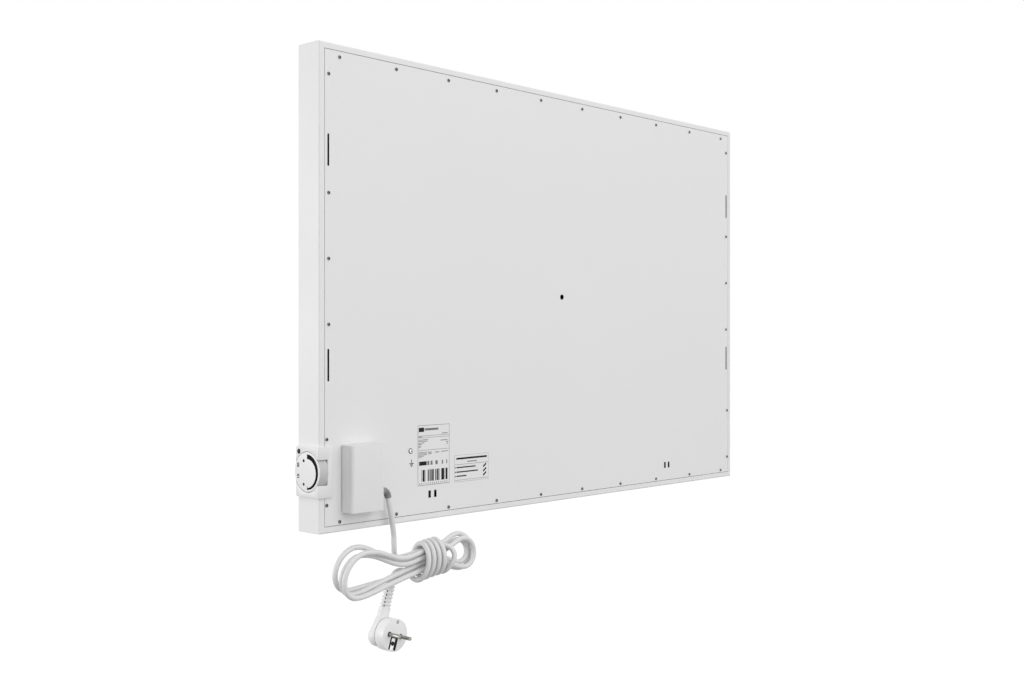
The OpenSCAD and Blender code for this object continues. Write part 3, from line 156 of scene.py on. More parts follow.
class HeaterCordSettings(bpy.types.PropertyGroup):
    """Mains cord, its gland and its plug."""
    sheath: grey("Sheath", "Colour of the cord", 0.72)
    plug: grey("Plug", "Colour of the plug", 0.84)
    # The recess grey is painted shade for the slots, the seam and the contact's well and hole, and the colour
    # of the dark rings at the pin roots and mark.
    recess: grey("Recesses", "Colour inside the plug's slots and contact well", 0.03)
    rubber: grey("Gland", "Colour of the rubber gland", 0.24)
    diameter: length("Diameter", "Diameter of the cord", 6.8)
    pitch: length("Pitch", "Pitch of neighbouring strands", 8.2)
    laps: whole("Loops", "Loops of the hank", 3, 1, 6)
    wraps: whole("Wraps", "Wraps round the waist of the hank", 5, 2, 8)
    ribs: whole("Ribs", "Ribs of the plug's bend relief", 6, 3, 8)


class HeaterMetalSettings(bpy.types.PropertyGroup):
    """Bare and plated metal."""
    # The zinc is darkened past its own tone as painted shade, so that the slots look black.
    zinc_darkened_for_shade: colour("Zinc", "Colour of the dark zinc of the rails and inner screws", (0.09, 0.092, 0.096))
    nickel: colour("Nickel", "Colour of the nickel plated pins and contacts", (0.62, 0.61, 0.58))
    screw: colour("Screws", "Colour of the back plate's screws", (0.14, 0.14, 0.145))
    head: length("Screw head", "Diameter of the back plate's screw heads", 4.5)
    head_rise: length("Head rise", "Height of a screw head", 1.6)


class HeaterLabelSettings(bpy.types.PropertyGroup):
    """Printed labels, kept generic."""
    film: grey("Film", "Colour of the label film", 0.80)
    ink: colour("Ink", "Colour of the dark print", (0.022, 0.022, 0.023))
    pale_ink: colour("Pale ink", "Colour of the pale print", (0.20, 0.20, 0.205))
    line: length("Line", "Width of a printed rule", 0.5)


class HeaterStageSettings(bpy.types.PropertyGroup):
    """Camera, lamps and floor."""
    lens: FloatProperty(name="Lens", description="Focal length of the camera in millimetres", default=43.309,
                        min=10.0, max=200.0)
    floor_drop: length("Floor", "Floor below the centre of the hanging slots", 860.0)
    ambient: FloatProperty(name="Ambient", description="Strength of the even light all round", default=0.80,
                           min=0.0, max=2.0)
    key: power("Key", "Power of the large lamp above", 53.0)
    side: power("Side", "Power of the lamp on the thermostat side", 38.0)


GROUPS = {
    "heater_paint": HeaterPaintSettings,
    "heater_mould": HeaterMouldSettings,
    "heater_cord": HeaterCordSettings,
    "heater_metal": HeaterMetalSettings,
    "heater_label": HeaterLabelSettings,
    "heater_stage": HeaterStageSettings,
}


# Finishes

class Finish:
    """A material whose colour, roughness and relief come from noise in the object's own space."""

    def __init__(self, name, tint, roughness, metallic=0.0):
        self.material = bpy.data.materials.new(name)
        self.material.use_nodes = True
        self.nodes = self.material.node_tree.nodes
        self.links = self.material.node_tree.links
        self.shader = self.nodes["Principled BSDF"]
        self.tint = tuple(tint)
        self.roughness = roughness
        self.set(Metallic=metallic, Roughness=roughness, Base_Color=(*self.tint, 1.0))
        self.space = self.nodes.new("ShaderNodeTexCoord").outputs["Object"]

    def set(self, **sockets):
        for key, value in sockets.items():
            self.shader.inputs[key.replace("_", " ")].default_value = value
        return self

    def noise(self, size, detail, rough, stretch):
        """Noise with features about size metres across."""
        place = self.space
        if stretch:
            mapping = self.nodes.new("ShaderNodeMapping")
            mapping.inputs["Scale"].default_value = stretch
            self.links.new(place, mapping.inputs["Vector"])
            place = mapping.outputs["Vector"]
        node = self.nodes.new("ShaderNodeTexNoise")
        for key, number in (("Scale", 1.0 / size), ("Detail", detail), ("Roughness", rough)):
            node.inputs[key].default_value = number
        self.links.new(place, node.inputs["Vector"])
        return node.outputs["Fac"]

    def ranged(self, value, low, high, start=0.3, end=0.7):
        node = self.nodes.new("ShaderNodeMapRange")
        for key, number in (("From Min", start), ("From Max", end), ("To Min", low), ("To Max", high)):
            node.inputs[key].default_value = number
        self.links.new(value, node.inputs["Value"])
        return node.outputs["Result"]

    def mix(self, factor, first, second):
        node = self.nodes.new("ShaderNodeMix")
        node.data_type = "RGBA"
        for key, value in (("Factor", factor), ("A", first), ("B", second)):
            if isinstance(value, bpy.types.NodeSocket):
                self.links.new(value, node.inputs[key])
            else:
                node.inputs[key].default_value = value if isinstance(value, float) else (*value, 1.0)
        return node.outputs["Result"]

    def varied(self, size, amount, detail=3.0, stretch=None):
        """Colour that drifts a little lighter and darker, on top of what is there."""
        dark = tuple(c * (1.0 - amount) for c in self.tint)
        light = tuple(min(1.0, c * (1.0 + amount)) for c in self.tint)
        shade = self.mix(self.ranged(self.noise(size, detail, 0.55, stretch), 0.0, 1.0), dark, light)
        socket = self.shader.inputs["Base Color"]
        if socket.is_linked:
            shade = self.mix(0.5, socket.links[0].from_socket, shade)
        self.links.new(shade, socket)
        return self

    def spotted(self, size, tint, low, high):
        """Spots of another colour where the noise is high, over a varied colour."""
        factor = self.ranged(self.noise(size, 6.0, 0.6, None), 0.0, 1.0, low, high)
        socket = self.shader.inputs["Base Color"]
        self.links.new(self.mix(factor, socket.links[0].from_socket, tint), socket)
        return self

    def glossed(self, size, spread, detail=2.0, stretch=None):
        """Roughness that varies round its level."""
        low, high = max(0.02, self.roughness - spread), min(1.0, self.roughness + spread)
        value = self.ranged(self.noise(size, detail, 0.5, stretch), low, high)
        self.links.new(value, self.shader.inputs["Roughness"])
        return self

    def relief(self, size, depth, detail=2.0, stretch=None, strength=1.0):
        """Fine bumps, one layer over another."""
        bump = self.nodes.new("ShaderNodeBump")
        bump.inputs["Distance"].default_value = depth
        bump.inputs["Strength"].default_value = strength
        self.links.new(self.noise(size, detail, 0.6, stretch), bump.inputs["Height"])
        socket = self.shader.inputs["Normal"]
        if socket.is_linked:
            self.links.new(socket.links[0].from_socket, bump.inputs["Normal"])
        self.links.new(bump.outputs["Normal"], socket)
        return self


def powder_coat(paint):
    made = Finish("powder_coat", paint.coat, paint.coat_roughness).set(IOR=1.5)
    made.varied(0.35, 0.012).varied(paint.grain * 1.6, 0.02, 4.0).glossed(0.12, 0.05)
    made.relief(paint.grain, paint.grain_depth, 3.0, strength=0.5)
    return made.relief(0.006, 0.00004, 1.0).material


def moulding(name, tint, roughness=0.42, grain=0.0005, depth=0.00002):
    made = Finish(name, tint, roughness).set(IOR=1.49)
    made.varied(0.05, 0.015).varied(0.0015, 0.012, 4.0).glossed(0.01, 0.06, 3.0)
    return made.relief(grain, depth, 3.0, strength=0.6).material


def plated(name, tint, roughness=0.32, along=None):
    made = Finish(name, tint, roughness, 1.0).varied(0.004, 0.08, 5.0).glossed(0.002, 0.09, 4.0, along)
    return made.relief(0.0006, 0.000012, 4.0, along, 0.5).material


def rubber_skin(name, tint):
    made = Finish(name, tint, 0.62).varied(0.006, 0.12, 5.0).glossed(0.003, 0.1)
    return made.relief(0.0004, 0.00003, 3.0).material


def cord_sheath(name, tint):
    made = Finish(name, tint, 0.4).set(IOR=1.5)
    made.varied(0.09, 0.025).varied(0.002, 0.015, 4.0).glossed(0.012, 0.07, 3.0)
    return made.relief(0.004, 0.00006, strength=0.35).relief(0.0005, 0.000015, strength=0.5).material


def mineral_wool(name, tint):
    made = Finish(name, tint, 0.95).varied(0.012, 0.16, 6.0).varied(0.001, 0.2, 6.0, (1.0, 1.0, 4.0))
    return made.relief(0.0016, 0.0006, 6.0, (1.0, 1.0, 5.0)).material


def bright_foil(name, tint):
    made = Finish(name, tint, 0.22, 1.0).varied(0.03, 0.05).glossed(0.01, 0.08)
    return made.relief(0.02, 0.0004, 4.0).material


def heating_sheet(name, tint):
    made = Finish(name, tint, 0.7).varied(0.003, 0.3, 6.0, (1.0, 1.0, 12.0)).glossed(0.01, 0.1)
    return made.relief(0.0008, 0.00004, 3.0, (1.0, 1.0, 10.0)).material


def circuit_board(name, tint):
    made = Finish(name, tint, 0.35).varied(0.002, 0.35, 2.0).spotted(0.003, (0.35, 0.30, 0.16), 0.66, 0.68)
    return made.glossed(0.004, 0.08).relief(0.0012, 0.00003).material


def printed(name, tint):
    made = Finish(name, tint, 0.6).set(Specular_IOR_Level=0.06).varied(0.0012, 0.2)
    return made.glossed(0.002, 0.08).relief(0.0004, 0.00001).material


def dull(name, tint):
    made = Finish(name, tint, 0.75).set(Specular_IOR_Level=0.05).varied(0.003, 0.25)
    return made.glossed(0.004, 0.08).relief(0.0007, 0.00002).material


def label_film(name, tint):
    made = Finish(name, tint, 0.38).varied(0.03, 0.01).varied(0.002, 0.01).glossed(0.01, 0.04)
    return made.relief(0.003, 0.00002, strength=0.4).material


def lamp_lens(name, tint):
    made = Finish(name, tint, 0.3).set(Specular_IOR_Level=0.1, Coat_Weight=0.04).varied(0.001, 0.3, 2.0)
    return made.glossed(0.001, 0.04).relief(0.0008, 0.00001).material


# Meshes

def sharp_edges(bm, degrees):
    return [e for e in bm.edges if len(e.link_faces) == 2 and e.calc_face_angle(0.0) > math.radians(degrees)]


def bevel(bm, edges, offset, segments):
    bmesh.ops.bevel(bm, geom=edges, offset=offset, offset_type="OFFSET", segments=segments, profile=0.5,
                    affect="EDGES", clamp_overlap=True, material=-1)


def add_piece(name, bm, materials, stands_for=(), body=FIXED, smooth=38.0, tidy=True):
    """Makes a finished mesh a piece that rides on a body."""
    if tidy:
        bmesh.ops.remove_doubles(bm, verts=bm.verts, dist=1e-7)
        bmesh.ops.recalc_face_normals(bm, faces=bm.faces)
    limit = math.radians(smooth)
    for face in bm.faces:
        face.smooth = True
    for edge in bm.edges:
        edge.smooth = edge.calc_face_angle(0.0) < limit
    mesh = bpy.data.meshes.new(name)
    bm.to_mesh(mesh)
    bm.free()
    for material in materials:
        mesh.materials.append(material)
    piece = bpy.data.objects.new(name, mesh)
    bpy.context.scene.collection.objects.link(piece)
    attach(piece, body)
    if stands_for:
        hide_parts(*stands_for)


def softened(node, name, materials, width, segments, only=None, second=None, more=None):
    """A copy of a frame node's mesh, joined up, with its sharp edges rounded. Faces that second picks take
    the second material, and more adds to the mesh."""
    bm = bmesh.new()
    bm.from_mesh(frame["nodes"][node].data)
    bmesh.ops.remove_doubles(bm, verts=bm.verts, dist=1e-6)
    bmesh.ops.dissolve_limit(bm, angle_limit=math.radians(0.6), verts=bm.verts, edges=bm.edges)
    bevel(bm, [e for e in sharp_edges(bm, 35.0) if only is None or only(e)], width, segments)
    for face in bm.faces:
        face.material_index = 1 if second and second(face.calc_center_median()) else 0
    if more:
        more(bm)
    add_piece(name, bm, materials, (node,))


def spun(profile, middle, axis, steps, start=None):
    """A closed shape from a profile of (distance along the axis, radius) in millimetres, turned round it."""
    axis = Vector(axis).normalized()
    across = start or axis.orthogonal().normalized()
    bm = bmesh.new()
    verts = [bm.verts.new(Vector(middle) + axis * (a * MM) + across * (r * MM)) for a, r in profile]
    edges = [bm.edges.new(pair) for pair in zip(verts, verts[1:])]
    bmesh.ops.spin(bm, geom=verts + edges, cent=middle, axis=axis, angle=math.tau, steps=steps,
                   use_merge=True, use_duplicate=False)
    bmesh.ops.remove_doubles(bm, verts=bm.verts, dist=1e-7)
    return bm


def add_mesh(bm, mesh, material):
    """Takes a mesh into a shape, in one of the shape's materials."""
    before = set(bm.faces)
    bm.from_mesh(mesh)
    bpy.data.meshes.remove(mesh)
    for face in bm.faces:
        if face not in before:
            face.material_index = material


def add_turned(bm, profile, middle=(0.0, 0.0, 0.0), axis=(0, 0, 1), space=Matrix(), material=0):
    """Adds a small turned part, its middle and axis in a space of its own."""
    part = spun(profile, middle, axis, 40)
    bmesh.ops.transform(part, matrix=space, verts=part.verts)
    mesh = bpy.data.meshes.new("part")
    part.to_mesh(mesh)
    part.free()
    add_mesh(bm, mesh, material)


def rounded(points, radius, steps=4):
    """A profile with its inner corners rounded, each point a pair."""
    out = [points[0]]
    for before, here, after in zip(points, points[1:], points[2:]):
        corner = Vector(here)
        one, two = Vector(before) - corner, Vector(after) - corner
        cut = min(radius, one.length * 0.45, two.length * 0.45)
        first, last = corner + one.normalized() * cut, corner + two.normalized() * cut
        for i in range(steps + 1):
            t = i / steps
            out.append(tuple(first * (1 - t) ** 2 + corner * 2 * t * (1 - t) + last * t ** 2))
    return out + [points[-1]]


def ring_edges(ring):
    return list({e for v in ring for e in v.link_edges if e.other_vert(v) in ring})


def drawn_out(bm, edges, move):
    """Extrudes a ring of edges and moves the new ring, whose vertices and edges it gives back."""
    made = bmesh.ops.extrude_edge_only(bm, edges=edges)["geom"]
    ring = [g for g in made if isinstance(g, bmesh.types.BMVert)]
    edges = [g for g in made if isinstance(g, bmesh.types.BMEdge) and all(v in ring for v in g.verts)]
    bmesh.ops.transform(bm, matrix=move, verts=ring)
    return ring, edges


def swept(route, radii, sides):
    """A closed tube drawn out along a route, with a radius for each point."""
    bm = bmesh.new()
    ways = [(b - a).normalized() for a, b in zip(route[:1] + route[:-1], route[1:] + route[-1:])]
    turn = Vector((0.0, 0.0, 1.0)).rotation_difference(ways[0]).to_matrix().to_4x4()
    ring = bmesh.ops.create_circle(bm, segments=sides, radius=radii[0], cap_ends=True,
                                   matrix=Matrix.Translation(route[0]) @ turn)["verts"]
    edges = ring_edges(ring)
    for i in range(1, len(route)):
        bend = ways[i - 1].rotation_difference(ways[i]).to_matrix().to_4x4()
        scale = Matrix.Scale(radii[i] / radii[i - 1], 4)
        move = Matrix.Translation(route[i]) @ bend @ scale @ Matrix.Translation(-route[i - 1])
        ring, edges = drawn_out(bm, edges, move)
    bmesh.ops.contextual_create(bm, geom=edges)
    return bm


def painted(verts, material):
    """Gives the faces round some vertices one of the shape's materials."""
    for face in {f for v in verts for f in v.link_faces}:
        face.material_index = material


def rod(bm, middle, radius, depth, sides, material=0):
    """A closed rod along X, its radius and length in millimetres."""
    place = Matrix.Translation(middle) @ turned(90, "Y")
    made = bmesh.ops.create_cone(bm, cap_ends=True, segments=sides, radius1=radius * MM,
                                 radius2=radius * MM, depth=depth * MM, matrix=place)
    painted(made["verts"], material)


def block(bm, low, high, space=Matrix(), material=0):
    """A thin printed mark or a small block between two corners, in metres."""
    low, high = Vector(low), Vector(high)
    place = space @ Matrix.Translation((low + high) / 2) @ Matrix.Diagonal((*(high - low), 1.0))
    painted(bmesh.ops.create_cube(bm, size=1.0, matrix=place)["verts"], material)


# Cord route, the same as the solids'

def smooth_step(x):
    x = min(1.0, max(0.0, x))
    return x * x * (3 - 2 * x)


class Hank:
    """The middle line of the hank in millimetres: loops drawn in at the waist, the wraps and the tail."""
    near_r, far_r, near_u, far_u = 29.5, 24.5, 46.3, 225.0
    middle_v, middle_w = -46.0, 16.0
    waist_half, waist_near, waist_mid, waist_far = 12.9, 132.0, 168.0, 182.93
    near_lift, far_lift = -4.0, 0.0
    sag, sag_u, sag_w = 6.78, 120.0, 36.0
    wrap_half_h, wrap_half_t, wrap_from, wrap_to = 22.0, 17.5, 187.23, 149.89
    wrap_fan, wrap_rise, wrap_lean = 1.54, 1.06, 0.92
    turn_soft = 0.12
    entry, leave, wrap_start, wrap_over = -0.02, 3.02, 0.17, 0.329
    near_shift = ((3.99, -6.02), (-3.44, -5.05), (-2.77, 5.0))
    near_inner, near_squeeze, near_shear = 1.88, 0.331, 0.249
    far_shift, far_shear = (-1.03, -0.99, 1.04), 0.11
    start = Vector((114.6, -19, 6.33)), Vector((0.09, -1, -0.051)).normalized()
    under = Vector((131.14, -43.76, -1.02)), Vector((1, -0.01, 0.042)).normalized()
    turn = Vector((193.54, -36.39, 30.04)), Vector((0.548, -0.85, 0.639)).normalized()

    def __init__(self, cord):
        self.d = cord.diameter / MM
        self.pitch = cord.pitch / MM
        self.laps = cord.laps
        self.wrap_gaps = cord.wraps - 1
        self.wrap_end = self.wrap_gaps + self.wrap_over
        self.run_out = self.far_u - self.waist_mid
        self.fold_far = math.pi * self.far_r
        self.run_back = self.far_u - self.near_u
        self.fold_near = math.pi * self.near_r
        run_in = self.waist_mid - self.near_u
        self.lap = self.run_out + self.fold_far + self.run_back + self.fold_near + run_in
        self.climb_start = 1 + (self.run_out + self.fold_far) / self.lap
        self.climb_end = 1 + (self.run_out + self.fold_far + self.run_back) / self.lap
        self.turn_back = (self.climb_start + self.climb_end) / 2

    def near(self, u):
        return smooth_step((self.waist_near - u) / (self.waist_near - self.near_u))

    def far(self, u):
        return smooth_step((u - self.waist_far) / (self.far_u - self.waist_far))

    def half(self, u):
        return (self.waist_half + (self.near_r - self.waist_half) * self.near(u)
                + (self.far_r - self.waist_half) * self.far(u))

    def outline(self, t):
        s = (t - math.floor(t)) * self.lap
        if s < self.run_out:
            return Vector((self.waist_mid + s, self.half(self.waist_mid + s)))
        s -= self.run_out
        if s < self.fold_far:
            a = math.pi / 2 - s / self.far_r
            return Vector((self.far_u + self.far_r * math.cos(a), self.far_r * math.sin(a)))
        s -= self.fold_far
        if s < self.run_back:
            return Vector((self.far_u - s, -self.half(self.far_u - s)))
        s -= self.run_back
        if s < self.fold_near:
            a = -math.pi / 2 - s / self.near_r
            return Vector((self.near_u + self.near_r * math.cos(a), self.near_r * math.sin(a)))
        u = self.near_u + s - self.fold_near
        return Vector((u, self.half(u)))

    def bundle(self, u):
        climbed = smooth_step((u - self.near_u) / self.run_back)
        lift = self.near_lift + (self.far_lift - self.near_lift) * climbed
        return self.middle_v + lift - self.sag * math.exp(-((u - self.sag_u) / self.sag_w) ** 2)

    def loop(self, t):
        here = self.outline(t)
        along = (self.outline(t + 0.001) - self.outline(t - 0.001)).normalized()
        near, far = self.near(here[0]), self.far(here[0])
        lap = min(self.laps - 1, max(0, math.floor(t)))
        shift = self.near_shift[min(lap, 2)]
        q = self.turn_back - math.sqrt((t - self.turn_back) ** 2 + self.turn_soft ** 2)
        inner = self.pitch * q * (1 - self.near_squeeze * near)
        if lap == self.laps - 1:
            inner += self.near_inner * near
        b = here + Vector((along[1], -along[0])) * inner
        layer = smooth_step((t - self.climb_start) / (self.climb_end - self.climb_start)) - 0.5
        depth = self.middle_w + self.pitch * layer + near * shift[1] + far * self.far_shift[min(lap, 2)]
        return Vector((b[0] + (self.near_shear * near - self.far_shear * far) * b[1],
                       self.bundle(b[0]) + b[1] + near * shift[0], depth))

    def wrap(self, n):
        a = math.tau * n + math.pi
        middle, pitch = (self.wrap_from + self.wrap_to) / 2, (self.wrap_from - self.wrap_to) / self.wrap_gaps
        u = middle - (n - self.wrap_gaps / 2) * (pitch - self.wrap_fan * math.sin(a))
        return Vector((u - self.wrap_lean * math.sin(a),
                       self.bundle(u) + self.wrap_rise + self.wrap_half_h * math.sin(a),
                       self.middle_w - self.wrap_half_t * math.cos(a)))

    @staticmethod
    def on(curve, t):
        """A place on a curve and the direction there."""
        return curve(t), (curve(t + 0.001) - curve(t - 0.001)).normalized()

    @staticmethod
    def between(a, b, a_share, b_share, count):
        """The points inside a smooth curve that joins two places in their directions."""
        reach = (b[0] - a[0]).length
        c, d = a[0] + a[1] * a_share * reach, b[0] - b[1] * b_share * reach
        return [a[0] * (1 - t) ** 3 + c * 3 * t * (1 - t) ** 2 + d * 3 * t * t * (1 - t) + b[0] * t ** 3
                for t in (i / count for i in range(1, count))]

    def points(self):
        lean = math.radians(PLUG_LEAN)
        up = Vector((math.sin(lean), math.cos(lean), 0))
        end = Vector(RELIEF_TOP)
        tail = end + up * self.d
        entry = self.start[0] + self.start[1] * self.d, self.start[1]
        first, last = self.on(self.loop, self.entry), self.on(self.loop, self.leave)
        wound, off = self.on(self.wrap, self.wrap_start), self.on(self.wrap, self.wrap_end)
        steps = self.laps * 120
        wound_on = self.wrap_end - self.wrap_start
        turns = round(wound_on * 40)
        out = [self.start[0], entry[0], *self.between(entry, self.under, 0.396, 0.424, 14), self.under[0]]
        out += [*self.between(self.under, first, 0.328, 0.373, 10), first[0]]
        out += [self.loop(self.laps * i / steps) for i in range(1, steps + 1)]
        out += [last[0], *self.between(last, self.turn, 0.488, 0.33, 10), self.turn[0]]
        out += self.between(self.turn, wound, 0.492, 0.419, 10)
        out += [self.wrap(self.wrap_start + wound_on * i / turns) for i in range(turns + 1)]
        return out + [*self.between(off, (tail, -up), 0.612, 0.613, 20), tail, end]


def drawn_through(points, count=6):
    """A smooth line through a few chosen points."""
    out = [points[0]]
    for p0, p1, p2, p3 in zip(points[:1] + points[:-2], points, points[1:], points[2:] + points[-1:]):
        for k in range(1, count + 1):
            t = k / count
            out.append(0.5 * (2 * p1 + (p2 - p0) * t + (2 * p0 - 5 * p1 + 4 * p2 - p3) * t * t
                              + (3 * p1 - p0 - 3 * p2 + p3) * t ** 3))
    return out


def drop_points(hank):
    """From the gland's tip down to the hank."""
    tip, bend = Vector(GLAND_TIP), math.radians(GLAND_BEND)
    away = Vector((math.cos(bend), -math.sin(bend), 0.0))
    start, way = hank.start
    return drawn_through([tip, tip + away * hank.d, Vector((108, 8, 10)), start - way * hank.d, start])


def plug_frame():
    """The plug's own space: z runs down along the cord, -y out of the pins' face."""
    return Matrix.Translation(at(*RELIEF_TOP)) @ turned(-PLUG_LEAN, "Y") @ turned(180, "X")


# Stage

def aimed(context, name, data, place, way):
    """Puts a camera or a lamp in the scene so that it looks one way."""
    piece = bpy.data.objects.new(name, data)
    piece.location = place
    piece.rotation_mode = "QUATERNION"
    piece.rotation_quaternion = Vector(way).to_track_quat("-Z", "Y")
    context.scene.collection.objects.link(piece)
    return piece


def seen_by(tree, *rays):
    """One for rays of these kinds, and nought for all others."""
    path = tree.nodes.new("ShaderNodeLightPath")
    seen = path.outputs[rays[0]]
    for ray in rays[1:]:
        most = tree.nodes.new("ShaderNodeMath")
        most.operation = "MAXIMUM"
        tree.links.new(seen, most.inputs[0])
        tree.links.new(path.outputs[ray], most.inputs[1])
        seen = most.outputs["Value"]
    return seen


def shining(node, strength):
    """A white glow from an emission or a background node."""
    node.inputs["Color"].default_value = WHITE
    node.inputs["Strength"].default_value = strength
    return node.outputs[0]


def chosen(tree, factor, first, second):
    """The second shader where the factor is one, else the first."""
    pick = tree.nodes.new("ShaderNodeMixShader")
    for i, socket in enumerate((factor, first, second)):
        tree.links.new(socket, pick.inputs[i])
    return pick.outputs["Shader"]


class HEATER_OT_stage(bpy.types.Operator):
    """Make the camera, the lamps, the floor and the white background"""
    bl_idname = "heater.stage"
    bl_label = "Stage"

    camera_place = (1380.12, 1190.48, -102.645)
    camera_yaw = 43.102
    floor_reach, floor_tone, floor_glow = 14.0, 0.32, 0.75
    above = Vector((-0.1, 3.0, 1.3)), Vector((-0.2, 0.0, -0.1)), 4.5
    beside = Vector((2.9, -1.9, 0.1)), Vector((0.4, 0.0, -0.1)), 1.8

    def execute(self, context):
        stage = context.scene.heater_stage
        context.scene.view_settings.view_transform = "Standard"
        self.camera(context, stage)
        self.floor(context, stage)
        self.world(context, stage)
        self.lamp(context, "lamp_above", *self.above, stage.key)
        self.lamp(context, "lamp_side", *self.beside, stage.side)
        return {"FINISHED"}

    def camera(self, context, stage):
        data = bpy.data.cameras.new("camera")
        data.lens = stage.lens
        data.sensor_width = 36.0
        data.sensor_fit = "HORIZONTAL"
        data.clip_start, data.clip_end = 0.02, 60.0
        yaw = math.radians(self.camera_yaw)
        way = (-math.cos(yaw), -math.sin(yaw), 0.0)
        context.scene.camera = aimed(context, "camera", data, Vector(self.camera_place) * MM, way)

    @staticmethod
    def lamp(context, name, place, target, size, watts):
        """A round lamp at a place in metres, turned to its target."""
        data = bpy.data.lights.new(name, "AREA")
        data.shape = "DISK"
        data.size = size
        data.energy = watts
        aimed(context, name, data, place, target - place)

    def floor(self, context, stage):
        bm = bmesh.new()
        bmesh.ops.create_grid(bm, x_segments=4, y_segments=4, size=self.floor_reach,
                              matrix=Matrix.Translation((0.0, 0.0, -stage.floor_drop)))
        mesh = bpy.data.meshes.new("floor")
        bm.to_mesh(mesh)
        bm.free()
        material = bpy.data.materials.new("pale_floor")
        material.use_nodes = True
        tree = material.node_tree
        shader = tree.nodes["Principled BSDF"]
        shader.inputs["Base Color"].default_value = (self.floor_tone, self.floor_tone, self.floor_tone, 1.0)
        shader.inputs["Roughness"].default_value = 0.9
        shader.inputs["Specular IOR Level"].default_value = 0.0
        dark, glow = (shining(tree.nodes.new("ShaderNodeEmission"), s) for s in (0.0, self.floor_glow))
        both = tree.nodes.new("ShaderNodeAddShader")
        tree.links.new(shader.outputs["BSDF"], both.inputs[0])
        seen = seen_by(tree, "Is Camera Ray", "Is Glossy Ray")
        tree.links.new(chosen(tree, seen, dark, glow), both.inputs[1])
        tree.links.new(both.outputs["Shader"], tree.nodes["Material Output"].inputs["Surface"])
        mesh.materials.append(material)
        floor = bpy.data.objects.new("floor", mesh)
        context.scene.collection.objects.link(floor)

    @staticmethod
    def world(context, stage):
        world = bpy.data.worlds.new("white_room")
        context.scene.world = world
        world.use_nodes = True
        tree = world.node_tree
        room = shining(tree.nodes["Background"], stage.ambient)
        backdrop = shining(tree.nodes.new("ShaderNodeBackground"), 1.0)
        seen = seen_by(tree, "Is Camera Ray", "Is Glossy Ray", "Is Transmission Ray")
        tree.links.new(chosen(tree, seen, room, backdrop), tree.nodes["World Output"].inputs["Surface"])


# Pieces

class HEATER_OT_cord(bpy.types.Operator):
    """Lay the mains cord from the gland through the hank to the plug"""
    bl_idname = "heater.cord"
    bl_label = "Cord"

    def execute(self, context):
        settings = context.scene.heater_cord
        hank = Hank(settings)
        route = [at(*p) for p in drop_points(hank) + hank.points()[1:]]
        curve = bpy.data.curves.new("mains_cord", "CURVE")
        curve.dimensions = "3D"
        curve.bevel_depth = settings.diameter / 2
        curve.bevel_resolution = 4
        curve.use_fill_caps = True
        spline = curve.splines.new("POLY")
        spline.points.add(len(route) - 1)
        for point, place in zip(spline.points, route):
            point.co = (*place, 1.0)
        spline.use_smooth = True
        curve.materials.append(cord_sheath("cord_sheath", settings.sheath))
        cord = bpy.data.objects.new("mains_cord", curve)
        context.scene.collection.objects.link(cord)
        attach(cord, FIXED)
        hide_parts("cord_drop", "cord_hank")
        plug = [bpy.data.objects[n] for n in ("plug_ribs", "plug_back", "plug_front")]
        plug += [frame["nodes"][n] for n in ("plug_pins", "plug_earth_contact")]
        return {"FINISHED"}


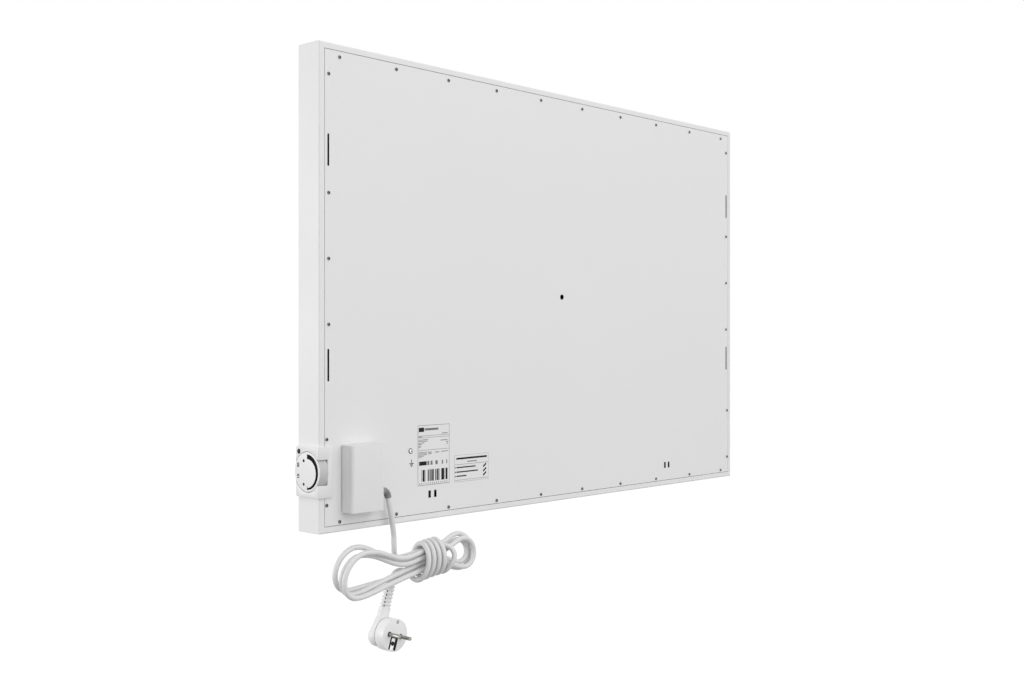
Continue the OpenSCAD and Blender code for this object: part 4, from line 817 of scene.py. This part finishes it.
class HEATER_OT_plug(bpy.types.Operator):
    """Make the right-angled plug with its ribbed bend relief"""
    bl_idname = "heater.plug"
    bl_label = "Plug"

    relief_l, relief_top_r, relief_end_r, core_r, core_over = 28.0, 6.8, 7.4, 4.6, 4.9
    web_half, web_drop, web_turn = 2.8, 2.2, 17.0
    face_s, seam_y, face_y, disc_r = 59.5, 15.0, 30.5, 20.5
    edge_r, seam_half, seam_sunk, seam_in = 0.9, 0.8, 0.07, 17.0
    pin_x, pin_r, root_r, pin_shade = 9.5, 2.3, 3.3, 0.55
    well_half, well_top, well_end, well_d = 6.15, 61.8, 77.5, 8.5
    strip_half, hole_s, hole_r, strip_sunk = 3.5, 69.8, 2.8, 0.95
    mark_x, mark_rise, mark_in, mark_out = 0.8, 16.6, 1.0, 1.8
    print_t = 0.1

    def execute(self, context):
        settings = context.scene.heater_cord
        white = moulding("plug_moulding", settings.plug, 0.36, 0.0007, 0.000015)
        # The second finish is painted shade in the slots, seam, well and hole, and the dark rings at the pin
        # roots and mark.
        dark = dull("plug_recess_shade", settings.recess)
        self.ribs(settings, [white, dark])
        self.space = plug_frame()
        inside = self.space.inverted()

        def from_axis(p):
            return math.hypot(p.x, p.z - self.face_s)

        def rim(edge):
            ends = [inside @ v.co / MM for v in edge.verts]
            return all(from_axis(p) > self.disc_r - 0.7 and -p.y > self.seam_y - 0.1 for p in ends)

        def well(point):
            p = inside @ point / MM
            return (abs(p.x) < self.well_half + 0.15 and self.well_top - 0.2 < p.z < self.well_end + 0.5
                    and self.seam_y + 0.1 < -p.y < self.face_y - 0.05 and from_axis(p) < self.disc_r - 1.2)
        edge_r = self.edge_r * MM
        softened("plug_body", "plug_back", [white], edge_r, 3, rim)
        softened("plug_disc", "plug_front", [white, dark], edge_r, 3, rim, well,
                 self.shade_and_dark_rings)
        pins = tuple(c * self.pin_shade for c in context.scene.heater_metal.nickel)
        dress("plug_pins", plated("pin_nickel", pins, 0.24))
        dress("plug_earth_contact", plated("contact_nickel", (0.80, 0.80, 0.79), 0.3))
        return {"FINISHED"}

    def shade_and_dark_rings(self, bm):
        """Dark rings at the pin roots and the moulded mark, and painted shade in the seam, on the rim of the
        contact's hole and on the sides of its well.
        """
        face, skin = self.face_y, self.print_t

        def ring(x, z, start, end, inner, outer):
            profile = [(start, inner), (start, outer), (end, outer), (end, inner)]
            add_turned(bm, profile, Vector((x, 0.0, z)) * MM, (0, -1, 0), self.space, 1)

        def wall(x0, x1, top, end):
            block(bm, Vector((x0, 0.15 - face, top)) * MM, Vector((x1, self.well_d - face, end)) * MM,
                  self.space, 1)
        for side in (-1, 1):
            ring(self.pin_x * side, self.face_s, face - skin, face + skin, self.pin_r, self.root_r)
            wall(*sorted((self.strip_half * side, self.well_half * side)), self.well_top, self.well_end)
        wall(-self.strip_half - 0.1, self.strip_half + 0.1, self.well_top - 0.05, self.well_top + 1.5)
        strip = face - self.strip_sunk
        ring(0.0, self.hole_s, strip - 0.03, strip, 0.0, self.hole_r)
        ring(self.mark_x, self.face_s - self.mark_rise, face - skin, face + 0.08, self.mark_in,
             self.mark_out)
        ring(0.0, self.face_s, self.seam_y - self.seam_half, self.seam_y + self.seam_half, self.seam_in,
             self.disc_r - self.seam_sunk)

    def ribs(self, settings, materials):
        """A core painted dark as shade in the slots, with rounded ribs, and four webs in every gap that leave
        slots between them.
        """
        pitch = self.relief_l / settings.ribs
        thick = pitch * 0.5
        core_end = self.relief_l + self.core_over
        bm = bmesh.new()
        core = [(0.0, 0.0), (0.0, self.core_r), (core_end, self.core_r), (core_end, 0.0)]
        # The core is painted dark, as shade seen through the slots.
        add_turned(bm, rounded(core, 0.3), material=1)
        for i in range(settings.ribs):
            start = i * pitch
            r = self.relief_top_r + (self.relief_end_r - self.relief_top_r) * start / self.relief_l
            rib = [(start, 0.0), (start, r), (start + thick, r), (start + thick, 0.0)]
            add_turned(bm, rounded(rib, 0.55))
            low = Vector((-self.web_half, self.core_r * 0.6, start + thick * 0.6)) * MM
            high = Vector((self.web_half, r - self.web_drop, start + pitch + thick * 0.4)) * MM
            for quarter in range(4):
                block(bm, low, high, turned(self.web_turn + 90 * quarter, "Z"))
        bmesh.ops.transform(bm, matrix=plug_frame(), verts=bm.verts)
        add_piece("plug_ribs", bm, materials, ("plug_relief",))


class HEATER_OT_gland(bpy.types.Operator):
    """Make the rubber bend relief where the cord leaves the junction box"""
    bl_idname = "heater.gland"
    bl_label = "Gland"

    bend_u, v, w, bend_r, steps = 90.7, 46.0, 12.0, 9.0, 24
    collar = ((81.1, 6.2), (81.2, 6.5), (82.4, 6.5), (82.6, 5.2), (84.6, 5.2), (84.7, 6.3), (85.0, 6.5),
              (85.9, 6.5), (86.1, 6.2), (86.3, 5.1), (88.0, 5.0))
    start_r, end_r, groove = 5.0, 4.35, 0.8

    def execute(self, context):
        rings = [(u, self.v, r) for u, r in self.collar]
        for i in range(self.steps + 1):
            a = math.radians(GLAND_BEND * i / self.steps)
            taper = self.start_r + (self.end_r - self.start_r) * i / self.steps
            sunk = self.groove if i % 6 in (4, 5) and i < self.steps - 2 else 0.0
            rings.append((self.bend_u + self.bend_r * math.sin(a), self.v - self.bend_r * (1 - math.cos(a)),
                          taper - sunk))
        tip_u, tip_v = GLAND_TIP[:2]
        rings += [(tip_u - 0.1, tip_v + 0.5, 4.3), (tip_u, tip_v, 3.9)]
        bm = swept([at(u, v, self.w) for u, v, r in rings], [r * MM for u, v, r in rings], 28)
        skin = rubber_skin("gland_rubber", context.scene.heater_cord.rubber)
        add_piece("bend_relief", bm, [skin], ("cord_gland",))
        return {"FINISHED"}


class HEATER_OT_screws(bpy.types.Operator):
    """Make the domed cross-head screws of the back plate and the earth screw"""
    bl_idname = "heater.screws"
    bl_label = "Screws"

    row_count, row_margin, bottom_inset, top_inset = 10, 31.5, 12.6, 15.8
    side_rows = ((34.5, 11.5), (114.9, 11.5), (255.3, 14.5), (335.7, 14.5), (416.1, 14.5), (561.3, 14.5))
    shank_l, shank_r = 9.0, 1.45
    earth_u, earth_v, earth_r, earth_rise, earth_l, earth_shank_r = 149.0, 92.0, 2.7, 1.8, 11.0, 2.0

    def execute(self, context):
        metal = context.scene.heater_metal
        # The second finish is painted shade in the cross recesses.
        finish = [plated("screw_nickel", metal.screw, 0.3), dull("screw_recess_shade", (0.008, 0.008, 0.008))]
        centres = []
        pitch = (PANEL_W - 2 * self.row_margin) / (self.row_count - 1)
        for i in range(self.row_count):
            u = self.row_margin + i * pitch
            centres += [(u, v) for v in (self.bottom_inset, PANEL_H - self.top_inset)]
        for v, inset in self.side_rows:
            centres += [(u, v) for u in (inset, PANEL_W - inset)]
        bm = bmesh.new()
        for i, (u, v) in enumerate(centres):
            self.screw(bm, at(u, v), metal.head / 2, metal.head_rise, self.shank_l, self.shank_r, 37.0 * i)
        add_piece("back_plate_screw_heads", bm, finish, ("back_plate_screws",), smooth=50.0)
        self.earth_screw()
        return {"FINISHED"}

    def earth_screw(self):
        """A bright screw in a dark ring that is painted shade round its head."""
        bm = bmesh.new()
        place = at(self.earth_u, self.earth_v)
        self.screw(bm, place, self.earth_r * MM, self.earth_rise * MM, self.earth_l, self.earth_shank_r, 20.0)
        # A dark ring round the head, painted shade; the screw's recess takes the same painted shade.
        shade_ring = rounded([(0.0, 1.9), (0.0, 3.5), (0.5, 3.5), (0.5, 1.9)], 0.2)
        add_turned(bm, shade_ring, place, (0, 1, 0), material=1)
        bright = plated("earth_screw_nickel", (0.86, 0.86, 0.86), 0.4)
        dark = dull("earth_shade_ring", (0.05, 0.05, 0.05))
        add_piece("earth_screw_head", bm, [bright, dark], ("earth_screw",), smooth=50.0)

    @staticmethod
    def screw(bm, place, radius, rise, shank_l, shank_r, turn):
        """A dome over a shank given in millimetres, with a cross-shaped recess sunk into its crown and
        painted dark as shade.
        """
        sides, flank = 16, 0.62
        shank_l, shank_r = shank_l * MM, shank_r * MM
        steps = [(-shank_l, shank_r), (0.0, shank_r), (0.0, radius * 0.96), (0.25 * rise, radius),
                 (0.55 * rise, radius * 0.9), (0.83 * rise, radius * 0.72), (0.97 * rise, radius * 0.56)]
        ring = bmesh.ops.create_circle(bm, segments=sides, radius=shank_r, cap_ends=True,
                                       matrix=Matrix.Translation((0, 0, -shank_l)))["verts"]
        every, edges = list(ring), ring_edges(ring)

        def raised(height, scale):
            move = Matrix.Translation((0, 0, height)) @ Matrix.Diagonal((scale, scale, 1.0, 1.0))
            ring, new_edges = drawn_out(bm, edges, move)
            every.extend(ring)
            return ring, new_edges
        for before, step in zip(steps, steps[1:]):
            ring, edges = raised(step[0] - before[0], step[1] / before[1])
        ring, edges = raised(0.0, 0.98)
        for v in ring:
            spoke = round(math.degrees(math.atan2(v.co.y, v.co.x)) / (360 / sides))
            if spoke % 4:
                v.co.x *= flank
                v.co.y *= flank
        ring, edges = raised(-0.55 * rise, 0.8)
        bmesh.ops.contextual_create(bm, geom=edges)
        # The recess takes material 1, painted shade.
        painted(ring, 1)
        matrix = Matrix.Translation(place) @ turned(-90, "X") @ turned(turn, "Z")
        bmesh.ops.transform(bm, matrix=matrix, verts=every)


class HEATER_OT_box(bpy.types.Operator):
    """Make the junction box with its rounded edges"""
    bl_idname = "heater.box"
    bl_label = "Junction box"

    foot_gap, foot_inset, wall, hollow = 1.2, 1.3, 0.9, 19.5

    def execute(self, context):
        mould = context.scene.heater_mould
        low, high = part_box("junction_box")
        foot_gap = self.foot_gap * MM
        bm = bmesh.new()
        block(bm, (low[0], low[1] + foot_gap, low[2]), high)

        def on_face(edge):
            return all(v.co.y > high[1] - 1e-5 for v in edge.verts)
        for side, radius in ((high[0], mould.box_edge), (low[0], mould.box_cord_edge)):
            upright = [e for e in bm.edges if on_face(e) and all(abs(v.co.x - side) < 1e-5 for v in e.verts)]
            bevel(bm, upright, radius, 7)
        bevel(bm, [e for e in sharp_edges(bm, 40.0) if on_face(e)], mould.box_rim, 5)
        base = [f for f in bm.faces if all(v.co.y < low[1] + foot_gap + 1e-5 for v in f.verts)]
        bmesh.ops.inset_region(bm, faces=base, thickness=self.foot_inset * MM, depth=0.0)
        base = self.pull(bm, [f for f in base if f.is_valid], -foot_gap)
        # The undercut's walls take a dark grey, painted shade in the gap under the box.
        for face in {f for b in base for e in b.edges for f in e.link_faces}:
            face.material_index = 1
        bmesh.ops.inset_region(bm, faces=base, thickness=self.wall * MM, depth=0.0)
        self.pull(bm, [f for f in base if f.is_valid], self.hollow * MM)
        shell = moulding("box_moulding", mould.shell, 0.44, 0.0009, 0.00003)
        # A dark grey for the undercut, painted shade.
        foot = dull("box_foot_shade", (0.10, 0.10, 0.10))
        add_piece("junction_box_shell", bm, [shell, foot], ("junction_box",))
        return {"FINISHED"}

    @staticmethod
    def pull(bm, faces, reach):
        """Draws faces out along the depth and gives back the moved ones."""
        made = bmesh.ops.extrude_face_region(bm, geom=faces)["geom"]
        moved = [g for g in made if isinstance(g, bmesh.types.BMFace)]
        bmesh.ops.translate(bm, vec=(0.0, reach, 0.0), verts=list({v for f in moved for v in f.verts}))
        bmesh.ops.delete(bm, geom=[f for f in faces if f.is_valid], context="FACES")
        return moved


class HEATER_OT_thermostat(bpy.types.Operator):
    """Make the thermostat cover, the turning dial with its scale and the indicator lamp"""
    bl_idname = "heater.thermostat"
    bl_label = "Thermostat"

    cover_edge, fillet = 0.35, 0.7
    face_x, radius, thick, rim_t, face_t = 453.5, 24.5, 13.8, 2.5, 2.5
    hub_r, hub_end, bore_r, bore_end = 6.0, 10.5, 3.05, 3.0
    band_r, band_wide, band_thin, band_steps, print_t = 21.7, 5.8, 2.2, 64, 0.035
    dots, dot_rise, dot_t = ((13.5, 6.6, 1.9), (-15.3, 6.6, 1.8)), 0.02, 0.03
    number_ahead, number_size, number_bold, number_rise = 17.4, 5.8, 0.24, 0.015
    high_up, low_up = 7.7, -6.4
    lens_depth, lens_v = -35.6, 99.5

    def execute(self, context):
        mould = context.scene.heater_mould
        shell = moulding("cover_moulding", mould.shell, 0.42, 0.0008, 0.000025)
        softened("thermostat_cover", "thermostat_shell", [shell], self.cover_edge * MM, 2)
        self.centre = Vector((self.face_x, -DIAL_DEPTH, DIAL_V - HANG_HEIGHT)) * MM
        self.dial(mould)
        self.lens(mould)
        return {"FINISHED"}

    def dial(self, mould):
        """A cup turned from its profile, with a hub, and the printed scale on its face."""
        r, inner = self.radius, self.radius - self.rim_t
        cup = rounded([(0.0, 0.0), (0.0, r), (-self.thick, r), (-self.thick, inner), (-self.face_t, inner),
                       (-self.face_t, self.hub_r), (-self.hub_end, self.hub_r), (-self.hub_end, self.bore_r),
                       (-self.bore_end, self.bore_r), (-self.bore_end, 0.0)], self.fillet)
        bm = spun(cup, self.centre, (1, 0, 0), 120, Vector((0, 0, 1)))
        # The outer wall takes the darker grey, partly the rim's own tone and partly painted shade in the
        # cover's window.
        for face in bm.faces:
            arm = face.calc_center_median() - self.centre
            outer = math.hypot(arm.y, arm.z) > (r - 0.2) * MM and arm.x < -self.fillet * MM
            face.material_index = 2 if outer else 0
        self.scale_band(bm)
        for up, ahead, size in self.dots:
            rod(bm, self.on_face(ahead, up, self.dot_rise), size, self.dot_t, 24, 1)
        self.number(bm, mould.high_number, self.high_up)
        self.number(bm, mould.low_number, self.low_up)
        white = moulding("dial_moulding", mould.dial, 0.4, 0.0007, 0.000015)
        ink = printed("scale_ink", mould.print_ink)
        wall = moulding("dial_wall_shade", mould.dial_wall_shade, 0.5, 0.0007, 0.00003)
        add_piece("thumbwheel", bm, [white, ink, wall], ("dial_wheel",), TURNING, tidy=False)

    def on_face(self, ahead, up, rise):
        """A point on the dial's face, ahead of and above its middle, in metres."""
        return self.centre + Vector((rise, -ahead, up)) * MM

    def scale_band(self, bm):
        """The printed wedge: wide at the top, thin at the bottom, through the rear side."""
        outer, inner, middle = self.band_r, self.band_r - self.band_wide, self.centre
        corners = ((outer, 0.0), (outer, self.print_t), (inner, self.print_t), (inner, 0.0))
        start = [bm.verts.new(self.on_face(0.0, r, rise)) for r, rise in corners]
        ring = [bm.edges.new((a, b)) for a, b in zip(start, start[1:] + start[:1])]
        before = set(bm.verts)
        bmesh.ops.spin(bm, geom=start + ring, cent=middle, axis=(1, 0, 0), angle=-math.pi,
                       steps=self.band_steps, use_merge=False, use_duplicate=False)
        band = set(start) | {v for v in bm.verts if v not in before}
        for v in band:
            arm = Vector((0.0, v.co.y - middle.y, v.co.z - middle.z))
            gone = min(1.0, max(0.0, math.atan2(arm.y, arm.z) / math.pi))
            if arm.length < (outer + inner) / 2 * MM:
                reach = (inner + (self.band_wide - self.band_thin) * gone ** 1.6) * MM
                v.co = Vector((v.co.x, middle.y, middle.z)) + arm.normalized() * reach
        for face in bm.faces:
            if all(v in band for v in face.verts):
                face.material_index = 1

    def number(self, bm, text, up):
        """A number that reads from bottom to top, drawn as a thin raised print."""
        curve = bpy.data.curves.new("number", "FONT")
        curve.body = text
        curve.size = self.number_size * MM
        curve.offset = self.number_bold * MM
        curve.align_x = curve.align_y = "CENTER"
        curve.extrude = self.number_rise * MM
        letters = bpy.data.objects.new("number", curve)
        bpy.context.scene.collection.objects.link(letters)
        bpy.context.view_layer.update()
        mesh = bpy.data.meshes.new_from_object(letters)
        upward = Matrix(((0, 0, 1, 0), (0, -1, 0, 0), (1, 0, 0, 0), (0, 0, 0, 1)))
        mesh.transform(Matrix.Translation(self.on_face(self.number_ahead, up, self.number_rise)) @ upward)
        add_mesh(bm, mesh, 1)
        bpy.data.objects.remove(letters)
        bpy.data.curves.remove(curve)

    def lens(self, mould):
        """A domed lens in a thin bezel, with its two leads."""
        middle = Vector((self.face_x, self.lens_depth, self.lens_v - HANG_HEIGHT)) * MM
        profile = [(-8.0, 0.0), (-8.0, 2.45), (-4.7, 2.45), (-4.7, 2.9), (-3.7, 2.9), (-3.7, 2.5),
                   (0.0, 2.5), (0.12, 2.35), (0.28, 1.7), (0.37, 0.9), (0.4, 0.0)]
        lead_l, lead_r, lead_half, lead_x = 10.5, 0.3, 1.25, -13.0
        bm = spun(profile, middle, (1, 0, 0), 40)
        rim = rounded([(-0.05, 2.4), (-0.05, 3.1), (0.2, 3.1), (0.2, 2.4)], 0.12)
        add_turned(bm, rim, middle, (1, 0, 0), material=1)
        for side in (-1, 1):
            rod(bm, middle + Vector((lead_x, 0.0, lead_half * side)) * MM, lead_r, lead_l, 10)
        bezel = dull("lens_bezel", (0.014, 0.006, 0.006))
        red = lamp_lens("lens_red", mould.lens)
        add_piece("indicator_lamp", bm, [red, bezel], ("indicator_lens",))


class HEATER_OT_labels(bpy.types.Operator):
    """Make the two printed labels with generic marks, and the printed earth mark"""
    bl_idname = "heater.labels"
    bl_label = "Labels"

    print_t, corner_r = 0.03, 1.2

    def execute(self, context):
        label = context.scene.heater_label
        inks = [printed("label_ink", label.ink), printed("label_pale_ink", label.pale_ink)]
        materials = [label_film("label_film", label.film)] + inks
        self.rating(label, materials)
        self.notice(label, materials)
        self.earth_mark(inks[0])
        return {"FINISHED"}

    def film(self, node):
        low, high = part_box(node)
        bm = bmesh.new()
        block(bm, low, high)
        corners = [e for e in bm.edges if abs(e.verts[0].co.y - e.verts[1].co.y) > 1e-5]
        bevel(bm, corners, self.corner_r * MM, 4)
        return bm, low, high

    def marks(self, bm, low, high, ink, rows):
        """Marks between shares of the label's width and height, from the thermostat side and the foot."""
        w, h = high[0] - low[0], high[2] - low[2]
        for x0, x1, y0, y1 in rows:
            block(bm, (high[0] - x1 * w, high[1], low[2] + y0 * h),
                  (high[0] - x0 * w, high[1] + self.print_t * MM, low[2] + y1 * h), material=ink)

    def outline(self, bm, low, high, line):
        x, y = line / (high[0] - low[0]), line / (high[2] - low[2])
        across = ((x, 1 - x, y, 2 * y), (x, 1 - x, 1 - 2 * y, 1 - y))
        upright = ((x, 2 * x, 2 * y, 1 - 2 * y), (1 - 2 * x, 1 - x, 2 * y, 1 - 2 * y))
        self.marks(bm, low, high, PALE, across + upright)

    def rating(self, label, materials):
        bm, low, high = self.film("rating_label")
        self.outline(bm, low, high, label.line * 1.1)
        line = label.line / (high[2] - low[2])
        rules = [(0.03, 0.97, y, y + line) for y in (0.815, 0.785, 0.58)]
        words = [(0.03, reach, y, y + 0.011) for y, reach in (
            (0.748, 0.33), (0.724, 0.30), (0.698, 0.21), (0.675, 0.13), (0.651, 0.11), (0.626, 0.10))]
        words += [(x0, x1, y, y + 0.013) for x0, x1, y in (
            (0.71, 0.93, 0.722), (0.75, 0.93, 0.838), (0.03, 0.14, 0.797), (0.88, 0.95, 0.69),
            (0.9, 0.95, 0.66), (0.31, 0.44, 0.537), (0.33, 0.43, 0.512), (0.54, 0.67, 0.53),
            (0.73, 0.94, 0.535))]
        words += [(0.03, reach, 0.545 - 0.021 * i, 0.555 - 0.021 * i)
                  for i, reach in enumerate((0.29, 0.28, 0.29, 0.2, 0.12))]
        ticks = [(0.06 + 0.065 * i, 0.075 + 0.065 * i, 0.02, 0.05) for i in range(14)]
        signs = [(x0, x1, 0.335, 0.40) for x0, x1 in (
            (0.30, 0.36), (0.40, 0.46), (0.55, 0.62), (0.75, 0.79), (0.89, 0.92))]
        pale_bars = [(x0, x1, 0.07, 0.26) for x0, x1 in (
            (0.12, 0.135), (0.225, 0.24), (0.31, 0.36), (0.41, 0.45), (0.54, 0.585), (0.67, 0.685),
            (0.84, 0.85))]
        dark_bars = [(x0, x1, 0.07, 0.26) for x0, x1 in (
            (0.155, 0.215), (0.375, 0.40), (0.455, 0.50), (0.60, 0.65), (0.735, 0.825), (0.87, 0.93))]
        heading, name, sign = (0.04, 0.2, 0.885, 0.955), (0.22, 0.64, 0.905, 0.94), (0.05, 0.28, 0.335, 0.40)
        self.marks(bm, low, high, PALE, [name, *rules, *words, *ticks, *signs, *pale_bars])
        self.marks(bm, low, high, DARK, [heading, sign, *dark_bars])
        add_piece("rating_label_film", bm, materials, ("rating_label",), tidy=False)

    def notice(self, label, materials):
        bm, low, high = self.film("notice_label")
        top = high[1] / MM

        def mark(u0, u1, v, tall, ink):
            block(bm, at(u1, v - tall / 2, top), at(u0, v + tall / 2, top + self.print_t), material=ink)
        self.outline(bm, low, high, label.line * 0.5)
        mark(231.9, 290.9, 76.0, 2.5, DARK)
        mark(252.6, 270.8, 71.2, 1.3, PALE)
        for v in (68.0, 47.0):
            mark(229.0, 293.0, v, label.line / MM, PALE)
        stroke = Vector((3.7, self.print_t / 2, 1.15)) * MM
        for v, reach in ((64.0, 268.6), (57.9, 273.0), (52.3, 251.0)):
            mark(229.4, 231.0, v, 1.7, DARK)
            mark(232.2, reach, v, 1.7, DARK)
            place = Matrix.Translation(at(286.4, v, top + self.print_t / 2))
            block(bm, -stroke, stroke, place @ turned(37.0, "Y"), DARK)
        add_piece("notice_label_film", bm, materials, ("notice_label",), tidy=False)

    def earth_mark(self, ink):
        """The plain sign for earth beside the earth screw: a stem over three bars."""
        bm = bmesh.new()
        u, v = 150.7, 76.0
        bars = ((0.5, 0.0, 4.9), (3.85, -1.05, 0.0), (2.6, -2.75, -1.7), (1.3, -4.45, -3.4))
        for half_w, low, high in bars:
            block(bm, at(u + half_w, v + low), at(u - half_w, v + high, self.print_t))
        add_piece("earth_mark", bm, [ink], tidy=False)


def dress(node, material):
    """Gives a frame node one finish all over."""
    piece = frame["nodes"][node]
    piece.data.materials.clear()
    piece.data.materials.append(material)


class HEATER_OT_finishes(bpy.types.Operator):
    """Give the sheets, the rails and the inner pieces their finishes"""
    bl_idname = "heater.finishes"
    bl_label = "Finishes"

    slot_x, slot_z, slot_half_w, slot_half_l = 436.0, 131.5, 1.8, 21.0
    inner_x, inner_low, inner_high = 400.0, -318.0, 240.0

    def execute(self, context):
        metal = context.scene.heater_metal
        dark = moulding("dark_moulding", (0.05, 0.05, 0.055), 0.4)
        brown = cord_sheath("brown_wire", (0.13, 0.055, 0.025))
        groups = [
            (powder_coat(context.scene.heater_paint), ("casing", "back_plate")),
            # Rails in the darkened zinc, painted shade behind the slots.
            (plated("rail_zinc", metal.zinc_darkened_for_shade, 0.42, (1.0, 1.0, 0.2)),
             ("top_rail", "bottom_rail", "thermostat_side_rail", "far_side_rail")),
            (plated("inner_screws", metal.zinc_darkened_for_shade, 0.3),
             ("earth_nut", "junction_box_screws", "terminal_block_screws", "cord_clamp_screws",
              "carrier_screws")),
            (plated("nickel", metal.nickel, 0.26), ("terminal_screws", "dial_shaft", "regulator_nut")),
            (plated("contact_brass", (0.55, 0.42, 0.16), 0.3), ("busbar_terminals", "terminal_inserts")),
            (plated("busbar_copper", (0.62, 0.30, 0.16), 0.35), ("busbars",)),
            (heating_sheet("element_sheet", (0.035, 0.035, 0.038)), ("heating_element",)),
            (bright_foil("reflector", (0.78, 0.79, 0.80)), ("reflector_foil",)),
            (mineral_wool("wool", (0.07, 0.067, 0.062)), ("insulation_mat",)),
            (dark, ("thermal_cutout", "dial_regulator", "relay", "air_sensor")),
            (moulding("terminal_moulding", (0.72, 0.70, 0.62), 0.45),
             ("terminal_block", "cord_clamp_base", "cord_clamp_bar")),
            (moulding("carrier_moulding", (0.62, 0.62, 0.62), 0.45), ("thermostat_carrier",)),
            (circuit_board("board", (0.03, 0.13, 0.06)), ("control_board",)),
            (rubber_skin("grommet_rubber", (0.05, 0.05, 0.05)), ("feed_grommet",)),
            (cord_sheath("inner_sheath", context.scene.heater_cord.sheath), ("cord_inside",)),
            (brown, ("element_wires", "supply_wires", "cord_cores")),
            (cord_sheath("earth_wire_sheath", (0.20, 0.34, 0.05)), ("earth_wire",)),
        ]
        for material, nodes in groups:
            for node in nodes:
                dress(node, material)
        # Painted shade on the walls of the slots and the middle hole.
        self.paint_slot_shade(dull("slot_wall_shade", (0.015, 0.015, 0.015)))
        return {"FINISHED"}

    def paint_slot_shade(self, material):
        """Painted shade on the walls of the hanging slots, the foot slots and the hole in the middle of the
        back plate.
        """
        plate = frame["nodes"]["back_plate"].data
        plate.materials.append(material)
        for face in plate.polygons:
            x, z = abs(face.center.x) / MM, face.center.z / MM
            in_slot = (abs(x - self.slot_x) < self.slot_half_w
                       and abs(abs(z) - self.slot_z) < self.slot_half_l)
            inner = x < self.inner_x and self.inner_low < z < self.inner_high
            if abs(face.normal.y) < 0.5 and (in_slot or inner):
                face.material_index = 1


OPERATORS = (HEATER_OT_stage, HEATER_OT_plug, HEATER_OT_cord, HEATER_OT_gland, HEATER_OT_screws,
             HEATER_OT_box, HEATER_OT_thermostat, HEATER_OT_labels, HEATER_OT_finishes)


class HEATER_PT_panel(bpy.types.Panel):
    """Heater pieces in the sidebar"""
    bl_idname = "HEATER_PT_panel"
    bl_label = "Infrared Panel Heater"
    bl_space_type = "VIEW_3D"
    bl_region_type = "UI"
    bl_category = "Heater"

    def draw(self, context):
        for operator in OPERATORS:
            self.layout.operator(operator.bl_idname)
        for name in GROUPS:
            settings = getattr(context.scene, name)
            box = self.layout.box()
            for key in settings.__annotations__:
                box.prop(settings, key)


CLASSES = (*GROUPS.values(), *OPERATORS, HEATER_PT_panel)


def register():
    for cls in CLASSES:
        bpy.utils.register_class(cls)
    for name, group in GROUPS.items():
        setattr(bpy.types.Scene, name, PointerProperty(type=group))


def unregister():
    for name in GROUPS:
        delattr(bpy.types.Scene, name)
    for cls in reversed(CLASSES):
        bpy.utils.unregister_class(cls)


def main():
    register()
    for operator in OPERATORS:
        group, name = operator.bl_idname.split(".")
        getattr(getattr(bpy.ops, group), name)()


if __name__ == "__main__":
    main()
